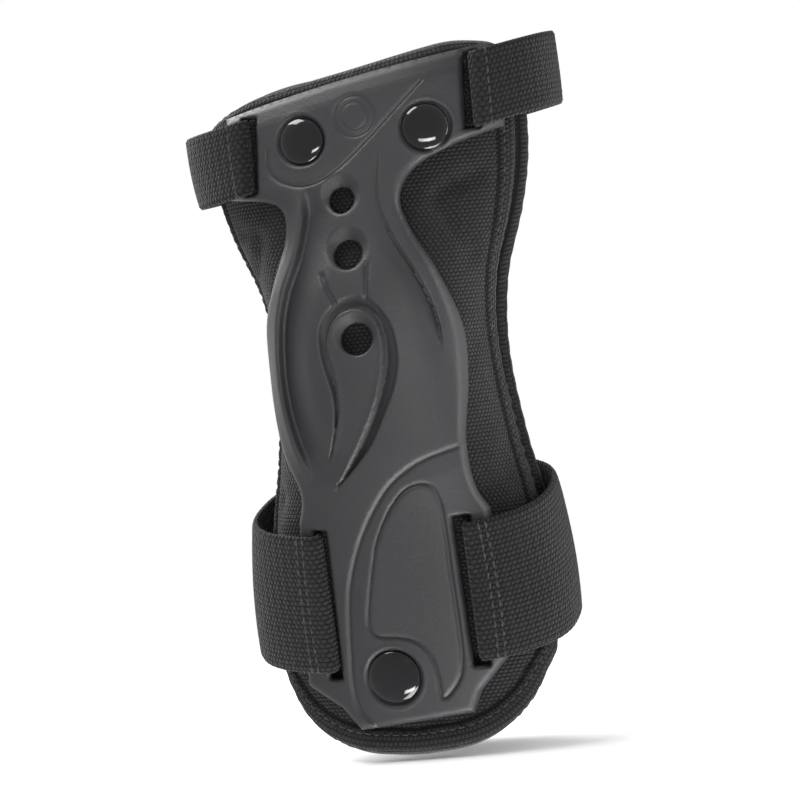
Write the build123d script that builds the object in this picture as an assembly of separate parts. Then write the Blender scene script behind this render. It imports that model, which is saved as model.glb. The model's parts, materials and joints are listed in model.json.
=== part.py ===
"""Wrist guard for the right hand: a padded sleeve of two panels with a moulded splint on each face.

+Z runs to the fingers, +Y is the palm side, -X is the thumb side. The origin is the wrist's centre.
A place on a face is given as (t, z): t runs across the face, positive to the thumb, so x = -t.
A "level" is a distance outward from the outer face of the sleeve's fabric.
"""
from build123d import *
from functools import lru_cache
import math
import os

# Sleeve: (z, half width, depth to the palm side, depth to the back side) of the fabric's outer face
STATIONS = [
    (-104, 35.0, 19.5, 19.5),
    (-72, 39.5, 23.0, 22.0),
    (-52, 40.0, 25.5, 23.0),
    (-32, 38.0, 28.5, 23.0),
    (-12, 34.0, 32.5, 22.5),
    (12, 31.5, 35.0, 22.0),
    (32, 34.0, 33.5, 22.0),
    (50, 41.0, 29.0, 22.0),
    (66, 45.0, 26.5, 22.0),
    (84, 46.0, 25.0, 21.0),
    (104, 44.5, 23.5, 19.5),
]
SQUARENESS = 2.5          # exponent of the section's superellipse; 2 would be an ellipse
FABRIC = 1.2              # shell fabric
FOAM = 4.0
LINING = 0.9
LAYER_GAP = 0.05          # between layers sewn face to face
BINDING_WIDTH = 8.0
BINDING_PROUD = 0.5       # how far the binding stands over each face
SEAM_HALF = 3.5           # half the gap that a gusset closes between the panels

# Splints
PLATE_LEVEL = 0.6         # level of the inner face, over the binding
PALM_PLATE = 3.4          # level of the outer face
BACK_PLATE = 3.2

# Rivets
CAP_SUNK = 1.4            # depth of a cap's seat in the splint
SHANK_RADIUS = 2.0
WASHER_RADIUS = 5.0
WASHER = 1.0
RIVET_FIT = 0.15
PALM_RIVETS = [(-12.4, 73.4, 6.4), (22.4, 73.4, 6.4), (-2.8, -74.9, 7.4)]
BACK_RIVETS = [(17.5, 71.0, 6.0), (-17.5, 71.0, 6.0), (0.0, -51.0, 6.6)]
PALM_VENTS = [(-2.1, 56.0, 3.6), (-1.1, 41.1, 4.0), (-0.1, 18.2, 4.4)]
BACK_VENTS = [(-7.4, 47.4, 4.6), (-1.6, 27.9, 4.6), (-0.4, 4.6, 4.6)]

# Slots for the webbing: (t at the top, t at the bottom, top z, bottom z, width)
PALM_SLOTS = [
    (-27.6, -29.0, 81.4, 60.4, 4.6),
    (35.4, 34.4, 92.6, 71.6, 4.4),
    (-18.4, -19.6, -32.8, -74.2, 3.6),
    (21.2, 21.6, -32.0, -73.6, 4.6),
]
BACK_SLOT_PAIRS = [(33.0, 33.4, 85.0, 63.7, 4.6), (24.5, 26.6, -27.0, -66.0, 5.0)]

# Webbing straps
STRAP = 1.5
TAIL = 1.4
PATCH = 0.7               # hook and loop tape
TAPE_GAP = 0.2            # between a tape and the webbing it is sewn to
RUNNING_GAP = 0.35        # between pieces that move past each other
HINGE_LIFT = 0.2          # a flap turns about a line this far over its outer face
PALM_STRAP_LEVEL = 4.0
TAIL_LEVEL = 4.8
LOOP_LEVEL = TAIL_LEVEL + TAIL + TAPE_GAP
HOOK_LEVEL = LOOP_LEVEL + PATCH + RUNNING_GAP
FLAP_LEVEL = HOOK_LEVEL + PATCH + TAPE_GAP

FAR = 90.0                # reaches past the part from any point of it


def section(z, half_width, palm_depth, back_depth):
    """One closed section of the sleeve: two superellipse halves that meet at the sides."""
    edges = []
    for side, depth in ((1, palm_depth), (-1, back_depth)):
        points = []
        for degrees in (0, 10, 25, 45, 67, 90, 113, 135, 155, 170, 180):
            c, s = math.cos(math.radians(degrees)), math.sin(math.radians(degrees))
            x = half_width * math.copysign(abs(c) ** (2 / SQUARENESS), c)
            y = depth * abs(s) ** (2 / SQUARENESS)
            points.append((x, side * y, z))
        edges.append(Edge.make_spline([Vector(p) for p in points],
                                      tangents=[Vector(0, side, 0), Vector(0, -side, 0)]))
    return Wire(edges)


@lru_cache(maxsize=None)
def form(level):
    """The solid inside the surface at one level."""
    return Solid.make_loft([section(z, a + level, p + level, b + level) for z, a, p, b in STATIONS])


def at(z, column):
    """A station value between the stations, along a smooth cubic."""
    rows = STATIONS
    i = max(1, min(len(rows) - 3, sum(1 for row in rows if row[0] <= z) - 1))
    z0, z1 = rows[i][0], rows[i + 1][0]
    s = (z - z0) / (z1 - z0)
    slopes = [(rows[k + 1][column] - rows[k - 1][column]) / (rows[k + 1][0] - rows[k - 1][0]) * (z1 - z0)
              for k in (i, i + 1)]
    h = (2 * s**3 - 3 * s**2 + 1, s**3 - 2 * s**2 + s, -2 * s**3 + 3 * s**2, s**3 - s**2)
    return (h[0] * rows[i][column] + h[1] * slopes[0] + h[2] * rows[i + 1][column] + h[3] * slopes[1])


def depth_at(t, z, level, side):
    """How far from the middle plane the surface at this level lies."""
    a = at(z, 1) + level
    b = at(z, 2 if side > 0 else 3) + level
    return b * (1 - min(0.999, abs(t) / a) ** SQUARENESS) ** (1 / SQUARENESS)


def seat(t, z, level, side):
    """A plane on the surface, its Z pointing out of the guard."""
    step = 0.5
    slope_t = (depth_at(t + step, z, level, side) - depth_at(t - step, z, level, side)) / (2 * step)
    slope_z = (depth_at(t, z + step, level, side) - depth_at(t, z - step, level, side)) / (2 * step)
    normal = Vector(slope_t, side, -slope_z)
    return Plane(origin=(-t, side * depth_at(t, z, level, side), z), x_dir=(1, 0, -slope_t * side),
                 z_dir=normal)


def edge_through(points):
    """A straight edge through two points, an arc through three, a spline through more."""
    points = [Vector(p) for p in points]
    if len(points) == 2:
        return Edge.make_line(*points)
    if len(points) == 3:
        return Edge.make_three_point_arc(*points)
    return Edge.make_spline(points)


def prism(outline, side, inset=0.0):
    """Extrudes a face-on outline, given as stretches of (t, z) points, to one side of the guard."""
    wire = Wire([edge_through([(-t, 0, z) for t, z in stretch]) for stretch in outline])
    if inset:
        wire = wire.offset_2d(-inset)
    return Solid.extrude(Face(wire), Vector(0, side * FAR, 0))


def block(low, high):
    """A box between two corners."""
    size = [h - l for l, h in zip(low, high)]
    middle = [(h + l) / 2 for l, h in zip(low, high)]
    return Pos(*middle) * Box(*size)


def write(name, shape):
    """Writes one node."""
    solids = shape.solids()
    whole = Compound(children=solids) if len(solids) > 1 else solids[0]
    whole.label = name
    export_step(whole, f"parts/{name}.step")
    return shape


# ---------------------------------------------------------------- outlines, as stretches end to end
PALM_PANEL = [
    [(-60, 76), (-44, 81)], [(-44, 81), (-37, 84.5), (-28, 87.2)], [(-28, 87.2), (2, 91.6), (31, 96.6)],
    [(31, 96.6), (44, 95)], [(44, 95), (60, 90)], [(60, 90), (60, -60)], [(60, -60), (38, -76)],
    [(38, -76), (30.5, -89.4), (16, -96.6)], [(16, -96.6), (0, -97.8), (-16, -96.6)],
    [(-16, -96.6), (-30.5, -89.4), (-38, -76)], [(-38, -76), (-60, -60)], [(-60, -60), (-60, 76)],
]
BACK_PANEL = [
    [(-60, 80), (-44, 86)], [(-44, 86), (-37, 90), (-28, 92.2)], [(-28, 92.2), (0, 94.6), (28, 93.2)],
    [(28, 93.2), (37, 91), (44, 87)], [(44, 87), (60, 81)], [(60, 81), (60, -60)],
    [(60, -60), (37, -68)], [(37, -68), (29.5, -80), (16, -86.4)],
    [(16, -86.4), (0, -87.6), (-16, -86.4)], [(-16, -86.4), (-29.5, -80), (-37, -68)],
    [(-37, -68), (-60, -60)], [(-60, -60), (-60, 80)],
]
PALM_SPLINT = [
    [(-35.4, 82.2), (2.0, 89.0), (38.6, 94.4)], [(38.6, 94.4), (43.8, 91.0)], [(43.8, 91.0), (41.5, 71.6)],
    [(41.5, 71.6), (28.2, 67.6), (17.8, 62.4), (13.6, 55.0), (16.2, 46.0), (22.0, 35.0), (26.4, 20.0),
     (26.4, 4.0), (24.6, -12.0), (25.4, -24.0), (28.4, -31.0)],
    [(28.4, -31.0), (29.8, -70.6)], [(29.8, -70.6), (20.4, -80.6)], [(20.4, -80.6), (17.6, -86.4)],
    [(17.6, -86.4), (-14.6, -89.2)], [(-14.6, -89.2), (-19.6, -82.6)], [(-19.6, -82.6), (-29.2, -76.0)],
    [(-29.2, -76.0), (-25.0, -30.6)],
    [(-25.0, -30.6), (-23.2, -22.2), (-28.2, -9.6), (-31.4, 8.0), (-30.2, 22.6), (-24.0, 36.0),
     (-19.4, 48.0), (-21.6, 56.6), (-37.2, 59.8)],
    [(-37.2, 59.8), (-35.4, 82.2)],
]
BACK_SPLINT_HALF = [
    [(0.0, 90.4), (32.6, 90.2)], [(32.6, 90.2), (37.6, 88.6), (39.8, 84.4)], [(39.8, 84.4), (41.0, 63.4)],
    [(41.0, 63.4), (34.2, 57.2), (26.6, 51.8), (22.0, 44.0), (20.1, 30.0), (20.0, 10.0), (21.8, -9.0),
     (26.0, -22.0), (32.4, -36.0)],
    [(32.4, -36.0), (34.4, -67.6)], [(34.4, -67.6), (25.3, -72.1)], [(25.3, -72.1), (18.4, -80.0)],
    [(18.4, -80.0), (0.0, -79.4)],
]
BACK_SPLINT = BACK_SPLINT_HALF + [[(-t, z) for t, z in reversed(s)] for s in reversed(BACK_SPLINT_HALF)]
# Each panel's thumb side: (z, where its edge is, where its binding ends), from the side's middle
THUMB_EDGE = [(-110, 3.5, 11.5), (8, 3.5, 11.5), (24, 6.0, 13.0), (44, 8.5, 14.5), (66, 9.5, 15.0),
              (110, 10.0, 15.0)]


def side_cut(side, inset):
    """What a panel leaves free along both sides: a straight seam, and the thumb opening."""
    share = inset / BINDING_WIDTH
    outline = [(0, side * (edge + (inner - edge) * share), z) for z, edge, inner in THUMB_EDGE]
    outline += [(0, -side * FAR, 110), (0, -side * FAR, -110)]
    face = Face(Wire.make_polygon([Vector(p) for p in outline], close=True))
    thumb = Solid.extrude(face, Vector(-FAR, 0, 0))
    edge = SEAM_HALF + inset
    pinky = block((-0.01, -FAR if side > 0 else -edge, -110), (FAR, edge if side > 0 else FAR, 110))
    return [thumb, pinky]


def panel_space(outline, side, inset=0.0):
    """The space of one panel, in from its edge by the inset."""
    space = prism(outline, side, inset=inset)
    for cut in side_cut(side, inset):
        space = space - cut
    return space


def slot_prism(slot, side):
    """The space of one slot, a slanted box through the splint."""
    t_top, t_bottom, z_top, z_bottom, width = slot
    corners = [(t_top - width / 2, z_top), (t_top + width / 2, z_top),
               (t_bottom + width / 2, z_bottom), (t_bottom - width / 2, z_bottom)]
    return prism(list(zip(corners, corners[1:] + corners[:1])), side)


# ---------------------------------------------------------------- sleeve
def make_panel(name, outline, side, rivets, plate_level):
    """One padded panel: shell fabric, foam and lining, bound all round its edge."""
    inner = panel_space(outline, side, BINDING_WIDTH)
    whole = panel_space(outline, side)
    fabric = (form(0) - form(-FABRIC)) & inner
    top, bottom = -FABRIC - LAYER_GAP, -FABRIC - LAYER_GAP - FOAM
    foam = (form(top) - form(bottom)) & inner
    lining_top = bottom - LAYER_GAP
    lining = (form(lining_top) - form(lining_top - LINING)) & inner
    rim = panel_space(outline, side, BINDING_WIDTH - LAYER_GAP)
    binding = (form(BINDING_PROUD) - form(lining_top - LINING - BINDING_PROUD)) & whole
    binding = binding - rim
    for t, z, _ in rivets:
        plane = seat(t, z, plate_level, side)
        hole = Solid.make_cylinder(SHANK_RADIUS + RIVET_FIT, 2 * FAR / 9, plane.offset(-FAR / 9))
        pocket_top = -(plate_level + FABRIC) + 0.3
        pocket = Solid.make_cylinder(WASHER_RADIUS + 0.4, 3.2, plane.offset(pocket_top - 3.2))
        fabric = fabric - hole
        foam = foam - pocket
    write(f"{name}_shell_fabric", fabric)
    write(f"{name}_foam_pad", foam)
    write(f"{name}_lining", lining)
    write(f"{name}_edge_binding", binding)


def make_gusset(name, low, high):
    """A strip of stretch fabric that joins the two panels along one side."""
    strip = (form(-0.2) - form(-0.2 - FABRIC)) & block(low, high)
    write(name, strip)


def make_splint(name, outline, side, level, vents, slots, rivets):
    """A moulded splint: a curved plate with vents, webbing slots and seats for the rivets."""
    plate = (form(level) - form(PLATE_LEVEL)) & prism(outline, side)
    for t, z, radius in vents:
        plane = Plane(origin=(-t, 0, z), x_dir=(1, 0, 0), z_dir=(0, side, 0))
        plate = plate - Solid.make_cylinder(radius, FAR, plane)
    for slot in slots:
        plate = plate - slot_prism(slot, side)
    for t, z, radius in rivets:
        plane = seat(t, z, level, side)
        plate = plate - Solid.make_cylinder(radius + RIVET_FIT, FAR / 9, plane.offset(-CAP_SUNK - 0.05))
        plate = plate - Solid.make_cylinder(SHANK_RADIUS + RIVET_FIT, FAR / 9, plane.offset(-FAR / 18))
    write(name, plate)


def make_rivets(name, rivets, side, level):
    """Domed caps with their shanks, and the washers that close them inside the sleeve."""
    caps, washers = [], []
    reach = level + FABRIC + 1.6
    for t, z, radius in rivets:
        plane = seat(t, z, level, side)
        height = CAP_SUNK + 1.2
        ball = (radius**2 + height**2) / (2 * height)
        dome = Solid.make_sphere(ball, plane.offset(height - CAP_SUNK - ball), angle1=-90)
        cap = Solid.make_cylinder(radius, height + 1, plane.offset(-CAP_SUNK)) & dome
        shank = Solid.make_cylinder(SHANK_RADIUS, reach - CAP_SUNK, plane.offset(-reach))
        caps.append((cap + shank).solids()[0])
        ring = Solid.make_cylinder(WASHER_RADIUS, WASHER, plane.offset(-reach))
        bore = Solid.make_cylinder(SHANK_RADIUS + 0.05, 3 * WASHER, plane.offset(-reach - WASHER))
        washers.append((ring - bore).solids()[0])
    write(f"{name}_rivet_caps", Compound(children=caps))
    write(f"{name}_rivet_washers", Compound(children=washers))


# ---------------------------------------------------------------- straps
# A place round a strap is an angle: 0 at the little finger's side, 90 on the palm, 180 at the thumb's
# side, 270 on the back. Its levels are (over the sides, over the palm face, over the back face).
def strap_point(strap, angle, levels, edge):
    """A point on one edge of a strap: edge is -1 for the forearm edge, +1 for the hand edge."""
    c, s = math.cos(math.radians(angle)), math.sin(math.radians(angle))
    slope_t, slope_y = strap["slopes"]
    half = edge * strap["width"] / 2 * math.sqrt(1 + slope_t**2 + slope_y**2)
    z = strap["centre_z"]
    for _ in range(8):
        a = at(z, 1) + levels[0]
        b = at(z, 2) + levels[1] if s > 0 else at(z, 3) + levels[2]
        x = a * math.copysign(abs(c) ** (2 / SQUARENESS), c)
        y = b * math.copysign(abs(s) ** (2 / SQUARENESS), s)
        z = strap["centre_z"] - slope_t * x + slope_y * y + half
    return Vector(x, y, z)


def strap_angle(strap, t, levels, face):
    """The angle of the place t across one face."""
    a = at(strap["centre_z"], 1) + levels[0]
    from_side = math.degrees(math.acos((abs(t) / a) ** (SQUARENESS / 2)))
    if t > 0:
        from_side = 180 - from_side
    return from_side if face == "palm" else 360 - from_side


def foot_point(strap, t, edge):
    """Where one edge of the webbing meets the panel under the palm splint's slot."""
    slope_t, slope_y = strap["slopes"]
    half = edge * strap["width"] / 2 * math.sqrt(1 + slope_t**2 + slope_y**2)
    z = strap["centre_z"]
    for _ in range(8):
        y = depth_at(t, z, PLATE_LEVEL, 1)
        z = strap["centre_z"] + slope_t * t + slope_y * y + half
    return Vector(-t, y, z)


def ribbon(strap, levels, thickness, start, end, foot=None):
    """A stretch of webbing or tape between two angles. A foot is (t, direction): the webbing turns down
    there through its slot to the fabric, and starts at that place instead."""
    outer_levels = [level + thickness for level in levels]
    wires = []
    for edge in (-1, 1):
        first = strap_angle(strap, foot[0], outer_levels, "palm") if foot else start
        inner_first = strap_angle(strap, foot[0] + foot[1] * thickness, levels, "palm") if foot else start
        steps = 14
        outer = [strap_point(strap, first + (end - first) * i / steps, outer_levels, edge)
                 for i in range(steps + 1)]
        inner = [strap_point(strap, inner_first + (end - inner_first) * i / steps, levels, edge)
                 for i in range(steps + 1)]
        corners = [outer[0]]
        if foot:
            for place in (foot[0], foot[0] + foot[1] * thickness):
                corners.append(foot_point(strap, place, edge))
        corners.append(inner[0])
        edges = [Edge.make_spline(outer), Edge.make_line(outer[-1], inner[-1]), Edge.make_spline(inner)]
        edges += [Edge.make_line(p, q) for p, q in zip(corners, corners[1:])]
        wires.append(Wire(edges))
    return Solid.make_loft(wires, ruled=True)


def make_strap(name, strap):
    """One strap: an anchor at the little finger's side, a flap hinged to it with a pull tab, the tapes,
    and a tail at the thumb's side that the flap closes on."""
    over = (strap["flap_sides"], PALM_STRAP_LEVEL, FLAP_LEVEL)
    under = (strap["tail_sides"], PALM_STRAP_LEVEL, TAIL_LEVEL)
    little_slot, thumb_slot = strap["slots"]
    hinge = -strap["hinge_angle"]
    gap = 0.5                                   # degrees round the section
    tab = strap_angle(strap, strap["tab"][0], over, "back") - 360
    end = strap_angle(strap, strap["tab"][1], over, "back") - 360
    write(f"{name}_strap_anchor", ribbon(strap, over, STRAP, None, hinge + gap, foot=(little_slot, -1)))
    write(f"{name}_strap_flap", ribbon(strap, over, STRAP, hinge - gap, tab + gap / 2))
    write(f"{name}_strap_pull_tab", ribbon(strap, over, STRAP, tab - gap / 2, end))
    tail_end = strap_angle(strap, strap["tail_end"], under, "back")
    write(f"{name}_strap_tail", ribbon(strap, under, TAIL, None, tail_end, foot=(thumb_slot, 1)))
    tape = dict(strap, width=strap["width"] - 3)
    for label, level, places, sides in (
        ("hook", HOOK_LEVEL, strap["hook"], strap["flap_sides"] - PATCH - TAPE_GAP),
        ("loop", LOOP_LEVEL, strap["loop"], strap["tail_sides"] + TAIL + TAPE_GAP),
    ):
        levels = (sides, PALM_STRAP_LEVEL, level)
        first, last = (strap_angle(strap, t, levels, "back") for t in places)
        write(f"{name}_{label}_tape", ribbon(tape, levels, PATCH, first, last))
    for label, angle in (("flap", hinge), ("pull tab", tab)):
        top_levels = [level + STRAP + HINGE_LIFT for level in over]
        low, high = (strap_point(strap, angle, top_levels, edge) for edge in (-1, 1))
        middle, axis = (low + high) * 0.5, (high - low).normalized()
        print(name, label, "hinge", [round(v / 1000, 5) for v in middle], [round(v, 5) for v in axis])


HAND_STRAP = {
    "centre_z": 77.8, "slopes": (0.17, -0.08), "width": 20.0,
    "flap_sides": 5.0, "tail_sides": 7.0, "slots": (-27.6, 34.2),
    "hinge_angle": 32.0, "tab": (6.0, 17.5), "hook": (5.0, -14.0),
    "tail_end": -12.0, "loop": (16.5, -11.0),
}
FOREARM_STRAP = {
    "centre_z": -46.0, "slopes": (0.0, -0.26), "width": 38.0,
    "flap_sides": 5.0, "tail_sides": 3.4, "slots": (-18.0, 20.7),
    "hinge_angle": 32.0, "tab": (21.0, 33.0), "hook": (20.0, -4.0),
    "tail_end": -6.0, "loop": (28.0, -5.0),
}

os.makedirs("parts", exist_ok=True)
make_panel("palm", PALM_PANEL, 1, PALM_RIVETS, PALM_PLATE)
make_panel("back", BACK_PANEL, -1, BACK_RIVETS, BACK_PLATE)
make_gusset("pinky_side_gusset", (0, 0.2 - SEAM_HALF, -74), (FAR, SEAM_HALF - 0.2, 78))
make_gusset("thumb_side_gusset", (-FAR, 0.2 - SEAM_HALF, -74), (0, SEAM_HALF - 0.2, 6))
make_splint("palm_splint", PALM_SPLINT, 1, PALM_PLATE, PALM_VENTS, PALM_SLOTS, PALM_RIVETS)
back_slots = BACK_SLOT_PAIRS + [(-a, -b, c, d, e) for a, b, c, d, e in BACK_SLOT_PAIRS]
make_splint("back_splint", BACK_SPLINT, -1, BACK_PLATE, BACK_VENTS, back_slots, BACK_RIVETS)
make_rivets("palm", PALM_RIVETS, 1, PALM_PLATE)
make_rivets("back", BACK_RIVETS, -1, BACK_PLATE)
make_strap("hand", HAND_STRAP)
make_strap("forearm", FOREARM_STRAP)
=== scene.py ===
import json
import math

import bmesh
import bpy
import numpy as np
from mathutils import Matrix, Vector
from mathutils.geometry import delaunay_2d_cdt

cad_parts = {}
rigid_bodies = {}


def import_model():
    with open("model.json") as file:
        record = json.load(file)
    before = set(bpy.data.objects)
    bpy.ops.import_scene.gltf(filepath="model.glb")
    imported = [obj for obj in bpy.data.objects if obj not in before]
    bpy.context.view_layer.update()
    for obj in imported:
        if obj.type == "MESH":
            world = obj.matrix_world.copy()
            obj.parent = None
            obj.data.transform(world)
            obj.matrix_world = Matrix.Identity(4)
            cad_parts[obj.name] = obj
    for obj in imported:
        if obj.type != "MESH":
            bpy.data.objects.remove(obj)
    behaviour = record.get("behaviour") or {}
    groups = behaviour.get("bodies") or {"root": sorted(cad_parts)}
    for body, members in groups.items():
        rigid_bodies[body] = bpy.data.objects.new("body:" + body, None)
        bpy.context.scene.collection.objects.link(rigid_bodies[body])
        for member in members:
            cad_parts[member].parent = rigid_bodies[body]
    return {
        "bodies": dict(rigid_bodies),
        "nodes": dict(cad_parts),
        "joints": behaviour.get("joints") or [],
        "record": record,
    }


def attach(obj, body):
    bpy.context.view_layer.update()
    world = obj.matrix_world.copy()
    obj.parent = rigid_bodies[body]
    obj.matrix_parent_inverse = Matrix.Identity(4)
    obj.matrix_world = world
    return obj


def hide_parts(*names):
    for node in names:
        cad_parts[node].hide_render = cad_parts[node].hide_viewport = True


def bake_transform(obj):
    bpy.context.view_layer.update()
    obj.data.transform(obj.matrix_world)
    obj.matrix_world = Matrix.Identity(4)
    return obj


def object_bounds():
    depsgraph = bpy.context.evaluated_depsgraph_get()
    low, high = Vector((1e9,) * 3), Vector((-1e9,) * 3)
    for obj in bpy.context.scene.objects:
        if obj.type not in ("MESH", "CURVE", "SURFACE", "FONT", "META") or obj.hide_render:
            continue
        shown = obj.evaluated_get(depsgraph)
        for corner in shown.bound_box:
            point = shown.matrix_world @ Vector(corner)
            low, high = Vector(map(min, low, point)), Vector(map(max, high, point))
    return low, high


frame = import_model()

bl_info = {
    "name": "Wrist Guard Finish",
    "version": (1, 0, 0),
    "blender": (4, 5, 0),
    "location": "3D View > Sidebar > Wrist Guard",
    "description": "Builds the moulded splints, padded panels, bindings, webbing and rivets of a wrist guard",
    "category": "Object",
}

# Sleeve: (z, half width, depth to the palm side, depth to the back side) of the fabric's outer face, mm
STATIONS = np.array([
    (-104, 35.0, 19.5, 19.5), (-72, 39.5, 23.0, 22.0), (-52, 40.0, 25.5, 23.0), (-32, 38.0, 28.5, 23.0),
    (-12, 34.0, 32.5, 22.5), (12, 31.5, 35.0, 22.0), (32, 34.0, 33.5, 22.0), (50, 41.0, 29.0, 22.0),
    (66, 45.0, 26.5, 22.0), (84, 46.0, 25.0, 21.0), (104, 44.5, 23.5, 19.5),
])
SQUARENESS = 2.5
PALM, BACK = 1, -1
MM = 0.001
CAD_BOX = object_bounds()


# ---------------------------------------------------------------- the sleeve's surface
def station(z, column):
    """A station value at each z, along a smooth cubic."""
    rows, value = STATIONS[:, 0], STATIONS[:, column]
    z = np.asarray(z, float)
    i = np.clip(np.searchsorted(rows, z, side="right") - 1, 1, len(rows) - 3)
    width = rows[i + 1] - rows[i]
    s = (z - rows[i]) / width
    slope0 = (value[i + 1] - value[i - 1]) / (rows[i + 1] - rows[i - 1]) * width
    slope1 = (value[i + 2] - value[i]) / (rows[i + 2] - rows[i]) * width
    return ((2 * s**3 - 3 * s**2 + 1) * value[i] + (s**3 - 2 * s**2 + s) * slope0
            + (-2 * s**3 + 3 * s**2) * value[i + 1] + (s**3 - s**2) * slope1)


def power(value):
    """A superellipse's coordinate from a cosine or sine."""
    return np.sign(value) * np.abs(value) ** (2 / SQUARENESS)


def section_point(angle, z, level):
    """Points round the sleeve: angle in radians, 0 at the little finger's side, pi/2 on the palm."""
    c, s = np.cos(angle), np.sin(angle)
    a = station(z, 1) + level
    b = np.where(s > 0, station(z, 2), station(z, 3)) + level
    return np.stack([a * power(c), b * power(s), np.asarray(z, float) + 0 * c], axis=-1)


def face_point(side, t, z, level):
    """Points on one face of the guard at (t, z); t is positive to the thumb."""
    a = station(z, 1) + level
    b = station(z, 2 if side > 0 else 3) + level
    share = np.minimum(0.999, np.abs(t) / a)
    y = side * b * (1 - share**SQUARENESS) ** (1 / SQUARENESS)
    return np.stack([-t, y, z + 0 * t], axis=-1)


class Unrolled:
    """One face laid flat: s is the distance round from the face's middle, positive to the thumb."""

    def __init__(self, side):
        self.side = side
        self.rows = np.linspace(-104, 104, 53)
        self.angles = np.linspace(0, math.pi, 721)
        self.length = []
        for z in self.rows:
            points = section_point(side * self.angles, np.full(721, z), 0.0)
            steps = np.linalg.norm(np.diff(points, axis=0), axis=1)
            self.length.append(np.concatenate([[0], np.cumsum(steps)]))
        self.length = np.array(self.length)
        shares = np.linspace(0, 1, 301)
        self.shares = shares
        self.angle_at = np.array([np.interp(shares * row[-1], row, self.angles) for row in self.length])

    def _row(self, z):
        place = np.clip((np.asarray(z, float) - self.rows[0]) / (self.rows[1] - self.rows[0]), 0, 51.999)
        i = place.astype(int)
        return i, place - i

    def width(self, z):
        i, f = self._row(z)
        total = self.length[:, -1]
        return total[i] * (1 - f) + total[i + 1] * f

    def s_of_angle(self, angle, z):
        i, f = self._row(z)
        place = np.clip(np.asarray(angle) / math.pi, 0, 0.99999) * 720
        k = place.astype(int)
        g = place - k
        both = [self.length[j, k] * (1 - g) + self.length[j, k + 1] * g for j in (i, i + 1)]
        return both[0] * (1 - f) + both[1] * f - self.width(z) / 2

    def s_of_edge(self, y, z, thumb):
        """Where the surface is y from the side's middle line."""
        depth = station(z, 2 if self.side > 0 else 3)
        angle = np.arcsin((y / depth) ** (SQUARENESS / 2))
        return self.s_of_angle(math.pi - angle if thumb else angle, z)

    def point(self, s, z, level):
        i, f = self._row(z)
        place = np.clip(s / self.width(z) + 0.5, 0, 0.99999) * 300
        k = place.astype(int)
        g = place - k
        both = [self.angle_at[j, k] * (1 - g) + self.angle_at[j, k + 1] * g for j in (i, i + 1)]
        angle = both[0] * (1 - f) + both[1] * f
        return section_point(self.side * angle, z, level)


FACES = {PALM: Unrolled(PALM), BACK: Unrolled(BACK)}


# ---------------------------------------------------------------- flat outlines
def spline(points, step=0.8, closed=False):
    """A Catmull-Rom curve through the points, as evenly spaced points."""
    p = np.array(points, float)
    n = len(p)
    count = n if closed else n - 1
    out = []
    for k in range(count):
        if closed:
            a, b, c, d = p[(k - 1) % n], p[k], p[(k + 1) % n], p[(k + 2) % n]
        else:
            a, b, c, d = p[max(k - 1, 0)], p[k], p[k + 1], p[min(k + 2, n - 1)]
        steps = max(2, int(np.linalg.norm(c - b) / step))
        s = np.linspace(0, 1, steps, endpoint=False)[:, None]
        out.append(0.5 * (2 * b + (c - a) * s + (2 * a - 5 * b + 4 * c - d) * s**2
                          + (3 * b - a - 3 * c + d) * s**3))
    if not closed:
        out.append(p[-1:])
    return np.concatenate(out)


def resample(path, step, closed=False):
    """The path with evenly spaced points."""
    p = np.concatenate([path, path[:1]]) if closed else np.asarray(path, float)
    run = np.concatenate([[0], np.cumsum(np.linalg.norm(np.diff(p, axis=0), axis=1))])
    count = max(3, int(round(run[-1] / step)))
    at = np.linspace(0, run[-1], count, endpoint=not closed)
    return np.stack([np.interp(at, run, p[:, k]) for k in range(p.shape[1])], axis=1)


def soften(path, rounds, closed=True):
    """Rounds the corners of an evenly spaced path."""
    p = np.array(path, float)
    for _ in range(rounds):
        q = 0.5 * p + 0.25 * (np.roll(p, 1, axis=0) + np.roll(p, -1, axis=0))
        if not closed:
            q[0], q[-1] = p[0], p[-1]
        p = q
    return p


def stretches(parts, step=0.8):
    """A closed outline from stretches end to end: two points are a line, more a curve."""
    out = [spline(part, step)[:-1] if len(part) > 2 else resample(np.array(part, float), step)[:-1]
           for part in parts]
    return np.concatenate(out)


def circle(t, z, radius, count=48):
    """A round outline."""
    turn = np.linspace(0, 2 * math.pi, count, endpoint=False)
    return np.stack([t + radius * np.cos(turn), z + radius * np.sin(turn)], axis=1)


def inside(points, outline):
    """Which points lie inside an outline."""
    x, y = points[:, 0], points[:, 1]
    result = np.zeros(len(points), bool)
    for (x0, y0), (x1, y1) in zip(outline, np.roll(outline, -1, axis=0)):
        crosses = (y0 > y) != (y1 > y)
        if crosses.any():
            result ^= crosses & (x < (x1 - x0) * (y - y0) / (y1 - y0 + 1e-12) + x0)
    return result


def distance(points, path, closed=False):
    """Distance from each point to a path."""
    p = np.concatenate([path, path[:1]]) if closed else path
    best = np.full(len(points), 1e9)
    for a, b in zip(p[:-1], p[1:]):
        edge = b - a
        s = np.clip(((points - a) @ edge) / max(edge @ edge, 1e-12), 0, 1)
        best = np.minimum(best, np.linalg.norm(points - a - s[:, None] * edge, axis=1))
    return best


def signed(points, path):
    """Distance to an open path, positive on its left as it runs."""
    best, sign = np.full(len(points), 1e9), np.ones(len(points))
    for a, b in zip(path[:-1], path[1:]):
        edge = b - a
        s = np.clip(((points - a) @ edge) / max(edge @ edge, 1e-12), 0, 1)
        away = points - a - s[:, None] * edge
        d = np.linalg.norm(away, axis=1)
        nearer = d < best
        best = np.where(nearer, d, best)
        turn = edge[0] * away[:, 1] - edge[1] * away[:, 0]
        sign = np.where(nearer, np.where(turn >= 0, 1.0, -1.0), sign)
    return best * sign


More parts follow.
